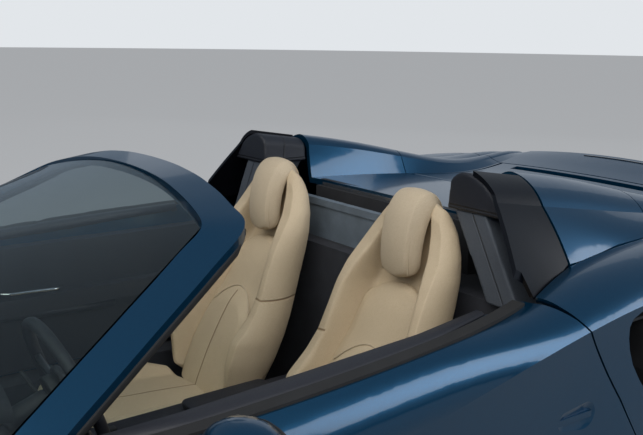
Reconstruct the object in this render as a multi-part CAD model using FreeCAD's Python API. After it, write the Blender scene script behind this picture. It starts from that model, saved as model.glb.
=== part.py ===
import FreeCAD
import Part
import math
import os

# A two-seat mid-engined convertible car with its folding roof stowed, in millimetres.
# Its origin is on the ground at the middle of the car: +X to the front, +Y to its left, +Z up.

V = FreeCAD.Vector

# Driving dimensions of the whole car
length = 4568.0
front_axle_x = 1145.0
wheelbase = 2650.0
rear_axle_x = front_axle_x - wheelbase
nose_x = length / 2
tail_x = -length / 2
ground_clearance = 125.0
shut_gap = 5.0

# Wheels and tyres
front_tyre_radius = 342.0
rear_tyre_radius = 346.0
front_tyre_width = 245.0
rear_tyre_width = 305.0
rim_radius = 262.0
front_track_half = 838.0
rear_track_half = 822.0
disc_radius = 195.0
disc_thickness = 34.0
hub_radius = 78.0
axle_radius = 30.0
axle_clearance = 0.4
spoke_pairs = 5

# Wheel wells, with a tighter lip at the body side
front_lip_radius = 381.0
front_well_radius = 410.0
rear_lip_radius = 384.0
rear_well_radius = 388.0
front_well_inner_y = 480.0
rear_well_inner_y = 600.0
lip_depth = 40.0

# Steering
kingpin_y = 768.0
steer_lock = 32.0

# Doors
door_front_x = 600.0
door_front_gap = 10.0
door_sill_z = 335.0
door_inner_y = 800.0
door_outer_y = 957.0
door_rear_bevel = 0.22
hinge_x = door_front_x - 22.0
hinge_y = 938.0
hinge_pin_radius = 7.0
hinge_pin_clearance = 0.5
barrel_radius = 12.0
barrel_pin_radius = 5.0

# Cabin
cabin_half_width = 700.0
floor_top_z = 165.0
dash_front_x = 960.0
bulkhead_x = -800.0
bulkhead_thickness = 50.0

# Lids
hood_front_x = 2010.0
hood_rear_x = 1105.0
hood_corner_x = 770.0
hood_corner_y = 612.0
hood_pivot = (hood_corner_x + barrel_radius, 803.0)
lid_thickness = 26.0
tonneau_front_x = -973.0
tonneau_rear_x = -1450.0
engine_lid_rear_x = -2056.0
engine_lid_pivot = (tonneau_rear_x - shut_gap - barrel_radius, 945.0)
hoop_rear_x = -955.0
hoop_front_x = -765.0

# Seats
seat_y = 360.0

# Body sides from nose to tail. Columns: x, underside z, underside half width, rocker half width
# and z, widest half width and z, shoulder half width and z, bulge of the side below its widest line
SIDE = [
    (2284, 250, 330, 400, 300, 440, 420, 380, 505, 0.06),
    (2190, 180, 540, 650, 250, 700, 430, 620, 570, 0.05),
    (2020, 140, 680, 815, 225, 860, 455, 740, 670, 0.04),
    (1780, 125, 740, 905, 225, 938, 500, 790, 775, 0.03),
    (1460, 125, 780, 945, 230, 965, 560, 800, 840, 0.02),
    (1145, 125, 790, 955, 235, 972, 600, 805, 860, 0.01),
    (850, 125, 790, 948, 235, 966, 620, 835, 846, 0.0),
    (600, 125, 790, 940, 235, 957, 635, 872, 824, -0.01),
    (250, 125, 790, 932, 235, 950, 660, 897, 826, -0.02),
    (-50, 125, 790, 930, 235, 950, 690, 902, 838, -0.03),
    (-350, 125, 790, 932, 235, 954, 740, 890, 852, -0.03),
    (-700, 125, 790, 942, 235, 962, 810, 828, 868, -0.03),
    (-950, 125, 790, 955, 235, 970, 850, 755, 908, -0.015),
    (-1200, 125, 790, 962, 240, 975, 862, 742, 930, 0.0),
    (-1505, 130, 790, 968, 250, 976, 850, 748, 945, 0.01),
    (-1850, 165, 770, 945, 285, 962, 835, 755, 958, 0.03),
    (-2100, 215, 730, 890, 330, 925, 815, 748, 955, 0.04),
    (-2284, 270, 660, 800, 370, 850, 785, 700, 935, 0.04),
]
# Front lid and wings. Columns: x, half width and z of the lid's edge, z of its middle
TOP_FRONT = {
    2284: (230, 520, 528),
    2190: (370, 580, 592),
    2020: (470, 645, 660),
    1780: (530, 710, 728),
    1460: (575, 772, 790),
    1145: (600, 806, 826),
    850: (620, 822, 842),
    600: (640, 812, 832),
    250: (650, 800, 815),
}
# Rear deck, with a flying buttress on each side. Columns: x, then y and z of the buttress's outer knee,
# of its crest, of its inner top and of its inner foot, then z of the deck's middle
TOP_REAR = {
    -350: (660, 1125, 535, 1192, 470, 1155, 452, 1000, 1003),
    -700: (660, 1104, 530, 1178, 463, 1140, 447, 992, 995),
    -950: (648, 1060, 530, 1141, 467, 1108, 446, 983, 987),
    -1200: (645, 1020, 532, 1098, 474, 1070, 446, 972, 976),
    -1505: (655, 976, 540, 1030, 482, 1010, 448, 950, 954),
    -1850: (680, 953, 566, 966, 500, 958, 460, 930, 935),
    -2100: (690, 957, 600, 962, 530, 962, 480, 952, 966),
    -2284: (660, 944, 590, 957, 530, 970, 480, 983, 1012),
}


def line(p, q):
    return Part.LineSegment(p, q).toShape()


def bowed(p, q, bulge):
    """An arc from p to q in a plane of constant x, its rise a share of the chord, to the right of its way."""
    chord = q - p
    if abs(bulge) < 1e-4:
        return line(p, q)
    right = V(0, chord.z, -chord.y)
    middle = (p + q) * 0.5 + right * bulge
    return Part.Arc(p, middle, q).toShape()


def side_edges(row):
    """The left side's edges, from the underside up to the shoulder."""
    x, zb, yb, yr, zr, yk, zk, ys, zs, bulge = row
    under, rocker, widest, shoulder = V(x, yb, zb), V(x, yr, zr), V(x, yk, zk), V(x, ys, zs)
    return [
        bowed(under, rocker, 0.12),
        bowed(rocker, widest, bulge),
        bowed(widest, shoulder, 0.16),
    ]


def closed_section(row, top):
    """A closed wire: the underside, the left side, the given top edges, and the right side."""
    x, zb, yb = row[:3]
    left = side_edges(row)
    right = [e.mirror(V(0, 0, 0), V(0, 1, 0)) for e in reversed(left)]
    edges = [line(V(x, -yb, zb), V(x, yb, zb))] + left + top + right
    return Part.Wire(Part.__sortEdges__(edges))


def top_line(row):
    x, ys, zs = row[0], row[7], row[8]
    return [line(V(x, ys, zs), V(x, -ys, zs))]


def top_front(row, drop=0.0):
    x, ys, zs = row[0], row[7], row[8]
    yv, zv, zc = TOP_FRONT[x]
    wing = bowed(V(x, ys, zs), V(x, yv, zv - drop), 0.07)
    lid = Part.Arc(V(x, yv, zv - drop), V(x, 0, zc - drop), V(x, -yv, zv - drop)).toShape()
    return [wing, lid, wing.mirror(V(0, 0, 0), V(0, 1, 0))]


def top_rear(row, drop=0.0):
    x, shoulder = row[0], V(row[0], row[7], row[8])
    values = TOP_REAR[x]
    # How far each point goes in and down when the surface is offset inward by the drop
    ways = ((-0.5, -0.9), (0.0, -1.1), (0.8, -0.7), (0.6, -1.0))
    points = [
        V(x, y + drop * dy, z + drop * dz) for (dy, dz), y, z in zip(ways, values[0:8:2], values[1:8:2])
    ]
    knee, crest, inner, foot = points
    half = [
        bowed(shoulder, knee, 0.03),
        bowed(knee, crest, 0.12),
        bowed(crest, inner, 0.14),
        bowed(inner, foot, -0.02),
    ]
    deck = Part.Arc(foot, V(x, 0, values[8] - drop), V(x, -foot.y, foot.z)).toShape()
    return half + [deck] + [e.mirror(V(0, 0, 0), V(0, 1, 0)) for e in reversed(half)]


def loft(sections):
    return Part.makeLoft(sections, True, False)


def box(x0, x1, y0, y1, z0, z1):
    return Part.makeBox(x1 - x0, y1 - y0, z1 - z0, V(x0, y0, z0))


def side_prism(points, y0, y1):
    """A side-view outline in x and z, carried from y0 to y1."""
    corners = [V(x, y0, z) for x, z in points]
    return Part.Face(Part.makePolygon(corners + corners[:1])).extrude(V(0, y1 - y0, 0))


def plan_prism(points, z0, z1):
    """A plan outline in x and y, carried from z0 to z1."""
    corners = [V(x, y, z0) for x, y in points]
    return Part.Face(Part.makePolygon(corners + corners[:1])).extrude(V(0, 0, z1 - z0))


def cylinder_y(radius, x, z, y0, y1):
    return Part.makeCylinder(radius, y1 - y0, V(x, y0, z), V(0, 1, 0))


def mirrored(shape):
    return shape.mirror(V(0, 0, 0), V(0, 1, 0))


def both(shape):
    return Part.makeCompound([shape, mirrored(shape)])


def save(name, shape):
    solids = [s for s in shape.Solids if s.Volume > 1.0]
    whole = solids[0] if len(solids) == 1 else Part.makeCompound(solids)
    whole.exportStep("parts/" + name + ".step")
    print(name, len(solids), round(whole.Volume / 1e6, 2), "litres", all(s.isValid() for s in solids))


os.makedirs("parts", exist_ok=True)


# The outer skin, as three lofts that share the table of the sides, and what lies a wall's thickness inside them
wall = 22.0
nose_wall = 34.0


def inset(row, t):
    x, zb, yb, yr, zr, yk, zk, ys, zs, bulge = row
    return (x, zb + t, yb - t, yr - t, zr + t * 0.4, yk - t, zk, ys - t * 0.8, zs - t, bulge)


def skins(t):
    rows = [inset(r, t) for r in SIDE]
    front = [r for r in rows if r[0] in TOP_FRONT]
    rear = [r for r in rows if r[0] in TOP_REAR]
    return (
        loft([closed_section(r, top_front(r, t)) for r in front]),
        loft([closed_section(r, top_rear(r, t)) for r in rear]),
    )


door_rows = [r for r in SIDE if -1505 <= r[0] <= 1145]
door_skin = loft([closed_section(r, top_line(r)) for r in door_rows])
front_skin, rear_skin = skins(0.0)
front_inner, rear_inner = skins(wall)
front_inner = front_inner.common(box(0, nose_x - nose_wall, -1100, 1100, 0, 1400))
rear_inner = rear_inner.common(box(tail_x + nose_wall, 0, -1100, 1100, 0, 1400))
front_shell = front_skin.cut(front_inner)
rear_shell = rear_skin.cut(rear_inner)

# Plan outline of the front lid's left half, from its nose to its curved rear edge. Columns: x, y
lid_side = [(hood_front_x, 470), (1780, 530), (1460, 575), (1145, 598), (900, 610), (hood_corner_x, hood_corner_y)]


def lid_plan(grow, z0, z1):
    """The lid's outline, grown on every side, as a prism with a curved rear edge."""
    left = [V(x + (grow if i == 0 else 0), y + grow, z0) for i, (x, y) in enumerate(lid_side)]
    left[-1].x -= grow
    right = [V(p.x, -p.y, z0) for p in reversed(left)]
    edges = [line(a, b) for a, b in zip(left, left[1:])] + [line(a, b) for a, b in zip(right, right[1:])]
    edges.append(Part.Arc(left[-1], V(hood_rear_x - grow, 0, z0), right[0]).toShape())
    edges.append(line(right[-1], left[0]))
    return Part.Face(Part.Wire(Part.__sortEdges__(edges))).extrude(V(0, 0, z1 - z0))


# Windscreen. Columns: x, y and z of the glass's left edge, then x and z of its middle
GLASS = [(43, 510, 1100, -5, 1168), (304, 630, 966, 500, 1026), (568, 750, 829, 985, 838)]
glass_thickness = 6.0
glass_face = Part.makeLoft(
    [Part.Wire([Part.Arc(V(x, y, z), V(xc, 0, zc), V(x, -y, z)).toShape()]) for x, y, z, xc, zc in GLASS],
    False,
    False,
)
glass = Part.makeCompound([f.extrude(V(-2.4, 0, -5.5)) for f in glass_face.Faces])

# Left half of the screen frame, up the pillar and along the header, at even steps so that the loft stays
# straight. Columns: outer edge x, y, z, then glass edge x, y, z
FRAME = [
    (512, 822, 826, 585, 768, 822),
    (454, 796, 855, 531, 743, 850),
    (397, 770, 883, 477, 718, 878),
    (339, 744, 912, 422, 692, 906),
    (282, 718, 941, 368, 667, 934),
    (224, 692, 970, 314, 642, 961),
    (167, 666, 998, 260, 617, 989),
    (109, 640, 1027, 205, 592, 1017),
    (52, 614, 1056, 151, 566, 1045),
    (-6, 588, 1085, 97, 541, 1073),
    (-49, 546, 1111, 44, 514, 1101),
    (-60, 480, 1129, 23, 456, 1122),
    (-70, 413, 1145, 13, 392, 1137),
    (-78, 345, 1158, 5, 328, 1149),
    (-84, 277, 1169, -2, 263, 1159),
    (-88, 208, 1176, -7, 198, 1166),
    (-91, 139, 1181, -10, 132, 1170),
    (-93, 69, 1183, -12, 66, 1172),
    (-93, 0, 1184, -12, 0, 1173),
]
frame_depth = 30.0


def frame_section(row, side):
    xo, yo, zo, xg, yg, zg = row
    outer, edge, drop = V(xo, side * yo, zo), V(xg, side * yg, zg), V(0, 0, -frame_depth)
    return Part.makePolygon([outer, edge, edge + drop, outer + drop, outer])


screen_frame = loft([frame_section(r, 1) for r in FRAME] + [frame_section(r, -1) for r in reversed(FRAME[:-1])])

# Front end
front_well = cylinder_y(front_lip_radius, front_axle_x, front_tyre_radius, 600, 1100)
lamp_plan = [(1995, 655), (1960, 690), (1800, 760), (1640, 812), (1560, 822), (1640, 770), (1800, 690), (1950, 620)]
lamp_prism = plan_prism(lamp_plan, 600, 1200)
lamp = front_skin.common(lamp_prism).cut(skins(9.0)[0])
save("headlamps", both(lamp))


def under_glass(grow):
    """All that lies within the windscreen's outline in plan, grown on every side."""
    x, y = GLASS[2][0] - grow, GLASS[2][1] + grow
    ends = V(x, y, 600), V(x, -y, 600)
    arc = Part.Arc(ends[0], V(GLASS[2][3] + grow, 0, 600), ends[1]).toShape()
    return Part.Face(Part.Wire([arc, line(ends[1], ends[0])])).extrude(V(0, 0, 600))


wing = front_shell.common(box(door_front_x + door_front_gap, hood_front_x, 0, 1100, 0, 1400))
wing = wing.cut(lid_plan(shut_gap, 400, 1200)).cut(front_well).cut(under_glass(4.0)).cut(lamp_prism)
wing = wing.cut(box(590, 1200, -10, 640, 700, 1200)).cut(box(500, hood_front_x + 1, -10, 752, 0, 326)).cut(box(500, 1010, -10, 784, 0, 326))
save("front_wing_left", wing)
save("front_wing_right", mirrored(wing))

hood = front_skin.cut(skins(lid_thickness)[0]).common(lid_plan(0.0, 560, 1200))
barrel = cylinder_y(barrel_radius, hood_pivot[0], hood_pivot[1], 545, 603)
barrel = barrel.fuse(box(hood_pivot[0], hood_pivot[0] + 60, 545, 603, hood_pivot[1] - 8, hood_pivot[1] + 2))
hood = hood.fuse(both(barrel))
pin_hole = cylinder_y(barrel_pin_radius + hinge_pin_clearance, hood_pivot[0], hood_pivot[1], 570, 640)
hood = hood.cut(both(pin_hole)).removeSplitter()
save("front_lid", hood)

cowl = skins(8.0)[0].cut(skins(30.0)[0]).common(box(612, 1200, -637, 637, 700, 1200))
cowl = cowl.cut(lid_plan(10.0, 400, 1200)).cut(under_glass(2.0)).cut(both(box(750, 870, 538, 640, 740, 860)))
lug = box(hood_pivot[0] - 14, hood_pivot[0] + 14, 619, 636, 762, 806)
lug = lug.fuse(cylinder_y(barrel_pin_radius, hood_pivot[0], hood_pivot[1], 578, 625))
cowl = cowl.fuse(both(lug.fuse(box(612, 790, 622, 636, 776, 796)))).removeSplitter()
cowl = cowl.cut(wing).cut(mirrored(wing))
save("cowl", cowl)

bumper = front_shell.common(box(hood_front_x + 4, nose_x, -1100, 1100, 0, 1400))
intake = box(2000, 2400, 120, 560, 250, 400)
bumper = bumper.cut(intake).cut(mirrored(intake))
save("front_bumper", bumper)
save("front_grilles", box(2120, 2132, -700, 700, 150, 418).common(front_inner))

luggage = box(1010, 1960, -455, 455, 182, 560).cut(box(1030, 1940, -435, 435, 200, 700))

front_liner = cylinder_y(front_well_radius + 6, front_axle_x, front_tyre_radius, front_well_inner_y, 1100)
front_liner = front_liner.cut(
    cylinder_y(front_well_radius, front_axle_x, front_tyre_radius, front_well_inner_y + 6, 1100)
)
front_liner = front_liner.common(skins(wall + 0.3)[0]).common(box(700, 1620, 0, 1000, 170, 900))
front_liner = front_liner.cut(box(900, 1400, 0, 600, 150, 620))

# Cabin tub, which narrows between the front wheel wells
tub_rear_x = bulkhead_x - bulkhead_thickness
tub_front_x = 1005.0
well_front_x = front_axle_x - front_well_radius - 12
tub_plan = [(tub_rear_x, cabin_half_width), (well_front_x - 20, cabin_half_width), (well_front_x, 474), (tub_front_x, 474)]
tub = plan_prism(tub_plan + [(x, -y) for x, y in reversed(tub_plan)], 130, floor_top_z)
tub = tub.fuse(box(tub_front_x - 20, tub_front_x, -474, 474, 130, 760))
for x0, x1, y0, y1, z1 in ((well_front_x, tub_front_x, 454, 474, 760), (well_front_x - 20, well_front_x, 454, 700, 560)):
    tub = tub.fuse(both(box(x0, x1, y0, y1, 130, z1)))
inner_sill = box(tub_rear_x, well_front_x - 20, cabin_half_width - 30, 780, 130, 325)
tub = tub.fuse(both(inner_sill)).fuse(box(tub_rear_x, bulkhead_x, -780, 780, 130, 800))
rails = [box(-340, 60, seat_y + y - 20, seat_y + y + 20, floor_top_z, 228) for y in (-140, 140)]
tub = tub.fuse(both(Part.makeCompound(rails))).removeSplitter()
sill = door_skin.common(box(-1120, door_front_x + door_front_gap - 3, 780.3, 1000, 0, 328))
rear_well = cylinder_y(rear_lip_radius, rear_axle_x, rear_tyre_radius, 600, 1100)
sill = sill.cut(cylinder_y(rear_well_radius + 13, rear_axle_x, rear_tyre_radius, 600, 1100))
# Jacking points, a round boss with a blind hole in it under each end of a sill. Column: x
JACK_POINTS = (430.0, -980.0)
jack_y, jack_z, jack_bore_radius, jack_bore_depth = 815.0, 118.0, 12.5, 25.0
for x in JACK_POINTS:
    sill = sill.fuse(Part.makeCylinder(24, 90, V(x, jack_y, jack_z), V(0, 0, 1)))
for x in JACK_POINTS:
    sill = sill.cut(Part.makeCylinder(jack_bore_radius, jack_bore_depth, V(x, jack_y, jack_z), V(0, 0, 1)))
save("sills", both(sill.removeSplitter()))
pillar = box(door_front_x + 60, door_front_x + 110, 640, 960, 328, 786)
pillar = pillar.common(front_inner).cut(tub)

dash_profile = [(650, 560), (520, 545), (462, 580), (440, 632), (456, 692), (500, 744), (560, 773), (650, 790)]
dash = side_prism(dash_profile, -690, 690)
dash = dash.fuse(box(650, 940, -610, 610, 764, 790)).fuse(box(640, 960, -74, 74, 400.3, 770))
dash = dash.fuse(box(540, 600, 200, 540, 780, 812)).fuse(box(bulkhead_x, 980, -75, 75, floor_top_z, 401)).cut(tub)
column_angle = 20.0
column_way = V(-math.cos(math.radians(column_angle)), 0, math.sin(math.radians(column_angle)))
column_foot = V(525, seat_y, 655)
dash = dash.fuse(Part.makeCylinder(28, 190, column_foot, column_way)).removeSplitter()
save("dashboard", dash.cut(cowl))

# Doors. Columns: x, z of the rear shut line, from the belt down
DOOR_REAR = [(-718, 930), (-735, 872), (-799, 781), (-870, 685), (-938, 597), (-1024, 470), (-1028, 425),
             (-1000, 380), (-945, door_sill_z)]
door_outline = [(door_front_x, 930)] + DOOR_REAR + [(door_front_x, door_sill_z)]
door_cut = [(door_front_x + door_front_gap, 1000), (-711, 1000)]
door_cut += [(x - 6, z) for x, z in DOOR_REAR[:-2]] + [(-1003, 374), (-947, 329)]
door_cut += [(door_front_x + door_front_gap, 329)]

door = door_skin.common(side_prism(door_outline, door_inner_y, 1000))
door = door.cut(box(430, 700, 700, 829, 740, 1000))
# The rear edge is bevelled on its inner side, so that it swings clear
bevel_start_y = door_outer_y - 20
bevel_shift = (bevel_start_y - door_inner_y) * door_rear_bevel


def bevel_section(x, z):
    corners = [V(x, bevel_start_y, z), V(x + bevel_shift, door_inner_y - 5, z), V(x - 80, door_inner_y - 5, z)]
    return Part.makePolygon(corners + corners[:1])


for a, b in zip(DOOR_REAR, DOOR_REAR[1:]):
    door = door.cut(Part.makeLoft([bevel_section(*a), bevel_section(*b)], True, True))
# A hollow in the skin with the handle across it
handle_x0, handle_x1, handle_z = -830.0, -700.0, 583.0
hollow = Part.makeCylinder(90, 70, V(-800, 1025, handle_z), V(1, 0, 0))
hollow = hollow.fuse(Part.makeSphere(90, V(-800, 1025, handle_z))).fuse(Part.makeSphere(90, V(-730, 1025, handle_z)))
bar = box(handle_x0, handle_x1, 928, 953, handle_z - 4, handle_z + 13)
door = door.cut(hollow).fuse(bar.common(door_skin)).removeSplitter()
hinge_heights = (505.0, 700.0)
hinge_half = 20.0
for z in hinge_heights:
    notch = box(hinge_x - 24, door_front_x + 1, 790, hinge_y + 12, z - hinge_half - 6, z + hinge_half + 6)
    door = door.cut(notch)
    door = door.cut(Part.makeCylinder(hinge_pin_radius + hinge_pin_clearance, 130, V(hinge_x, hinge_y, z - 65)))
save("door_left", door)
save("door_right", mirrored(door))
for z in hinge_heights:
    arm = box(hinge_x - 9, door_front_x + 90, 850, 872, z - hinge_half, z + hinge_half)
    arm = arm.fuse(box(hinge_x - 9, hinge_x + 9, 850, hinge_y, z - hinge_half, z + hinge_half))
    arm = arm.fuse(Part.makeCylinder(10, 2 * hinge_half, V(hinge_x, hinge_y, z - hinge_half)))
    arm = arm.fuse(Part.makeCylinder(hinge_pin_radius, 110, V(hinge_x, hinge_y, z - 55)))
    pillar = pillar.fuse(arm)
foot = box(515, door_front_x + 110, 776, 819, 780, 800).cut(door)
pillar = pillar.fuse(foot).cut(dash).removeSplitter()
pillar = pillar.cut(screen_frame)
save("door_hinges", both(pillar))

trim = plan_prism([(440, 762), (380, 745), (-640, 745), (-700, 762), (-700, 799.7), (440, 799.7)], 345, 790)
armrest = plan_prism([(200, 700), (-520, 700), (-560, 750), (240, 750)], 560, 620)
trim = trim.fuse(armrest).removeSplitter()
save("door_trim_left", trim)
save("door_trim_right", mirrored(trim))

# Belt seal on each door. Columns: x, outer y, z of its underside
BELT = [(560, 872, 826), (250, 896, 828), (-50, 901, 840), (-350, 889, 854), (-690, 828, 869)]


def belt_section(row):
    x, y, z = row
    corners = [V(x, y - 44, z - 8), V(x, y - 4, z - 4), V(x, y - 4, z + 5), V(x, y - 44, z + 3)]
    return Part.makePolygon(corners + corners[:1])


belt = loft([belt_section(r) for r in BELT])
save("belt_seal_left", belt.cut(door))
save("belt_seal_right", mirrored(belt.cut(door)))

# Door mirror. Columns: y, radius of the rounded head
MIRROR = [(935, 30), (966, 60), (1026, 74), (1080, 64), (1112, 26)]
mirror_head = loft([Part.Wire([Part.makeCircle(r, V(247, y, 828), V(0, 1, 0))]) for y, r in MIRROR])
mirror_head = mirror_head.cut(box(130, 191, 800, 1200, 650, 1000))
mirror_arm = Part.makeLoft(
    [Part.Wire([Part.makeCircle(14, V(320, 874, 818), V(0, 1, 0.2))]),
     Part.Wire([Part.makeCircle(14, V(262, 968, 826), V(0, 1, 0.2))])], True, True)
mirror = mirror_head.fuse(mirror_arm).cut(door).cut(belt)
save("mirror_left", mirror)
save("mirror_right", mirrored(mirror))

# Rear body
opening = side_prism(door_cut, 780, 1000)
shoulder_line = [(-600, 855)] + [(r[0], r[7]) for r in SIDE if r[0] in (-700, -950, -1200, -1505)]


def inside_shoulder(x0, x1, shrink, z0=860):
    """All between x0 and x1 that lies inward of the body's shoulder line, less the shrink."""
    half = [(x, y - shrink) for x, y in shoulder_line]
    outline = half + [(x, -y) for x, y in reversed(half)]
    return plan_prism(outline, z0, 1400).common(box(x0, x1, -1000, 1000, 0, 1400))


quarter = rear_shell.common(box(-2060, -690, 0, 1100, 0, 1400)).cut(opening).cut(rear_well)
quarter = quarter.cut(inside_shoulder(tonneau_rear_x - 4, -600, 0.0))
deck_plan = [(tonneau_rear_x - 4, -10), (tonneau_rear_x - 4, 420), (-1850, 446), (-2100, 472), (-2100, -10)]
quarter = quarter.cut(plan_prism(deck_plan, 860, 1400))
quarter = quarter.cut(box(-3000, 0, -10, 560, 0, 700)).cut(box(-1200, -600, 0, 780, 0, 860))
quarter = quarter.cut(box(-1122, 0, 0, 1100, 0, 331))
intake_points = [(-1104, 852), (-1041, 846), (-977, 836), (-944, 823), (-934, 802), (-938, 770), (-950, 735),
                 (-972, 690), (-1010, 638), (-1056, 586), (-1098, 566), (-1078, 640), (-1078, 750)]
quarter = quarter.cut(side_prism(intake_points, 700, 1100))
lid_pin = cylinder_y(barrel_pin_radius, engine_lid_pivot[0], engine_lid_pivot[1], 380, 424)
lid_pin = lid_pin.fuse(box(engine_lid_pivot[0] - 10, engine_lid_pivot[0] + 10, 418, 448, 925, 948))
quarter = quarter.fuse(lid_pin).removeSplitter()
quarter = max(quarter.Solids, key=lambda solid: solid.Volume)
save("rear_quarter_left", quarter)
save("rear_quarter_right", mirrored(quarter))

# A duct behind each side intake, with a fin across it
centre_x = sum(x for x, z in intake_points) / len(intake_points)
centre_z = sum(z for x, z in intake_points) / len(intake_points)
wider = [(centre_x + (x - centre_x) * 1.06, centre_z + (z - centre_z) * 1.04) for x, z in intake_points]
duct = side_prism(wider, 800, 950).cut(side_prism(intake_points, 808, 1000)).common(skins(wall + 0.3)[1])
duct = duct.fuse(box(-1080, -962, 804, 935, 796, 804).common(side_prism(intake_points, 800, 950)))
save("intake_ducts", both(duct.removeSplitter()))

tonneau = rear_shell.common(inside_shoulder(tonneau_rear_x, -963, 4.0, 872)).removeSplitter()
save("tonneau", tonneau)
deck_half = [(engine_lid_pivot[0] - 2, -1), (engine_lid_pivot[0] - 2, 412), (-1850, 438), (engine_lid_rear_x, 450),
             (engine_lid_rear_x, -1)]
deck_cut = rear_skin.cut(skins(lid_thickness)[1]).common(plan_prism(deck_half, 860, 1400))
engine_lid = deck_cut.fuse(mirrored(deck_cut))
engine_lid = engine_lid.fuse(cylinder_y(barrel_radius, engine_lid_pivot[0], engine_lid_pivot[1], -406, 406))
bore = cylinder_y(barrel_pin_radius + hinge_pin_clearance, engine_lid_pivot[0], engine_lid_pivot[1], 370, 420)
engine_lid = engine_lid.cut(both(bore)).removeSplitter()
louvre_count, louvre_pitch, louvre_width, louvre_half, louvre_x = 5, 46.0, 15.0, 260.0, -1600.0
for i in range(louvre_count):
    x = louvre_x - i * louvre_pitch
    engine_lid = engine_lid.cut(box(x - louvre_width, x, -louvre_half, louvre_half, 860, 1100))
engine_lid = engine_lid.cut(box(-2036, -1990, -352, 352, 860, 1100))
save("engine_lid", engine_lid)

diffuser_half, diffuser_top = 480.0, 465.0
rear_bumper = rear_shell.common(box(tail_x, -2064, -1100, 1100, 0, 1400))
rear_bumper = rear_bumper.cut(box(tail_x - 10, -2060, -diffuser_half, diffuser_half, 0, diffuser_top))
rear_bumper = rear_bumper.cut(box(-2400, tail_x + 12, -262, 262, 470, 600))
lamp_pocket = Part.makeCylinder(64, 60, V(tail_x - 1, 640, 800), V(1, 0, 0))
rear_bumper = rear_bumper.cut(both(lamp_pocket))
exhaust_hole = Part.makeCylinder(56, 80, V(tail_x - 1, 330, 392), V(1, 0, 0))
diffuser = rear_shell.common(
    box(tail_x, -2064, 3 - diffuser_half, diffuser_half - 3, 0, diffuser_top - 0.3)).cut(both(exhaust_hole))
for y in (-420, -210, 0, 210, 420):
    fin = box(tail_x + 6, -2100, y - 4, y + 4, 150, 309.7).common(rear_skin)
    diffuser = diffuser.fuse(fin)
diffuser = diffuser.cut(box(tail_x - 1, -2150, -400, 400, 200, 322).cut(both(box(-2400, -2000, 206, 214, 0, 400))).cut(box(-2400, -2000, -4, 4, 0, 400)))
save("rear_diffuser", diffuser.removeSplitter())
save("rear_bumper", rear_bumper)
tail_lamp = Part.makeCylinder(63.7, 34, V(tail_x + 2, 640, 800), V(1, 0, 0))
save("tail_lamps", both(tail_lamp))
exhaust = Part.makeCylinder(48, 230, V(tail_x + 4, 330, 392), V(1, 0, 0))
exhaust = exhaust.cut(Part.makeCylinder(43, 200, V(tail_x, 330, 392), V(1, 0, 0)))
save("exhausts", both(exhaust))
rear_liner = cylinder_y(rear_well_radius + 12, rear_axle_x, rear_tyre_radius, rear_well_inner_y, 1100)
rear_liner = rear_liner.cut(
    cylinder_y(rear_well_radius + 6, rear_axle_x, rear_tyre_radius, rear_well_inner_y + 6, 1100)
)
rear_liner = rear_liner.common(skins(wall + 0.3)[1]).common(box(-2000, -1040, 0, 1000, 170, 900))
rear_liner = rear_liner.cut(box(-1680, -1330, 0, 620, 150, 560))
save("wheel_liners", Part.makeCompound([both(front_liner), both(rear_liner)]))

# Hoops behind the seats: a padded cap on a leaning column, with a gloss panel outside
hoop_core = skins(12.3)[1].common(box(-953, hoop_front_x, 396, 800, 860, 1400)).common(inside_shoulder(-953, -700, 13.0))
hoop_cover = hoop_core.common(box(-1000, -700, 396, 745, 1045, 1400))


def column_section(z, x0, x1, y0, y1):
    return Part.makePolygon([V(x0, y0, z), V(x1, y0, z), V(x1, y1, z), V(x0, y1, z), V(x0, y0, z)])


hoop_column = Part.makeLoft(
    [column_section(800.3, -900, -778, 622, 738), column_section(1044.7, -945, -774, 488, 604)], True, True)
hoop_column = hoop_column.common(skins(12.3)[1]).cut(tub)
save("hoops", Part.makeCompound([both(hoop_cover), both(hoop_column)]))
panel = rear_skin.cut(skins(12.0)[1]).common(inside_shoulder(-953, -680, 4.0, 872)).common(box(-1000, 0, 560, 1000, 0, 1400))
panel_front = [(-953, 860), (-676, 860), (-676, 880), (hoop_front_x, 1110), (hoop_front_x, 1300), (-953, 1300)]
panel = panel.common(side_prism(panel_front, 500, 1000)).cut(opening)
save("quarter_panels", both(panel))
shelf = box(-968, tub_rear_x - 0.3, -740, 740, 760, 800)
shelf = shelf.fuse(box(-1000, -945, -392, 392, 800, 985)).cut(box(-1100, -700, -392, 392, 963, 1100))
shelf = shelf.fuse(box(-985, -966, -392, 392, 950, 985))
brace = box(-948, -905, 560, 735, 790, 1040).common(skins(12.3)[1])
shelf = shelf.fuse(both(brace)).cut(tonneau).cut(both(hoop_column)).cut(both(hoop_cover)).removeSplitter()
save("rear_shelf", shelf)
# The wind stop, a thin panel with a thicker rail along its top
wind_stop = box(-872, -862, -372, 372, 800.3, 930).fuse(box(-882, -856, -372, 372, 918, 942))
save("wind_stop", wind_stop.removeSplitter())

# Engine, as one plain block
save("engine", box(-1480, -900, -300, 300, 214.3, 740))

# Seats. Back columns: z, x of the wings' front, x of the rear, half width
SEAT_BACK = [
    (262, -400, -540, 196), (343, -399, -573, 228), (424, -402, -609, 240), (505, -428, -643, 240),
    (586, -504, -674, 229), (667, -552, -704, 213), (748, -582, -733, 206), (829, -622, -760, 202),
    (910, -680, -780, 186), (991, -722, -790, 144), (1072, -742, -784, 76),
]
# The hollow between the wings. Columns: z, x of its floor, half width
SEAT_HOLLOW = [
    (262, -404, 140), (343, -436, 156), (424, -474, 166), (505, -516, 166), (586, -566, 160), (667, -622, 153),
    (748, -664, 148), (829, -706, 138), (910, -744, 104),
]
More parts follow.
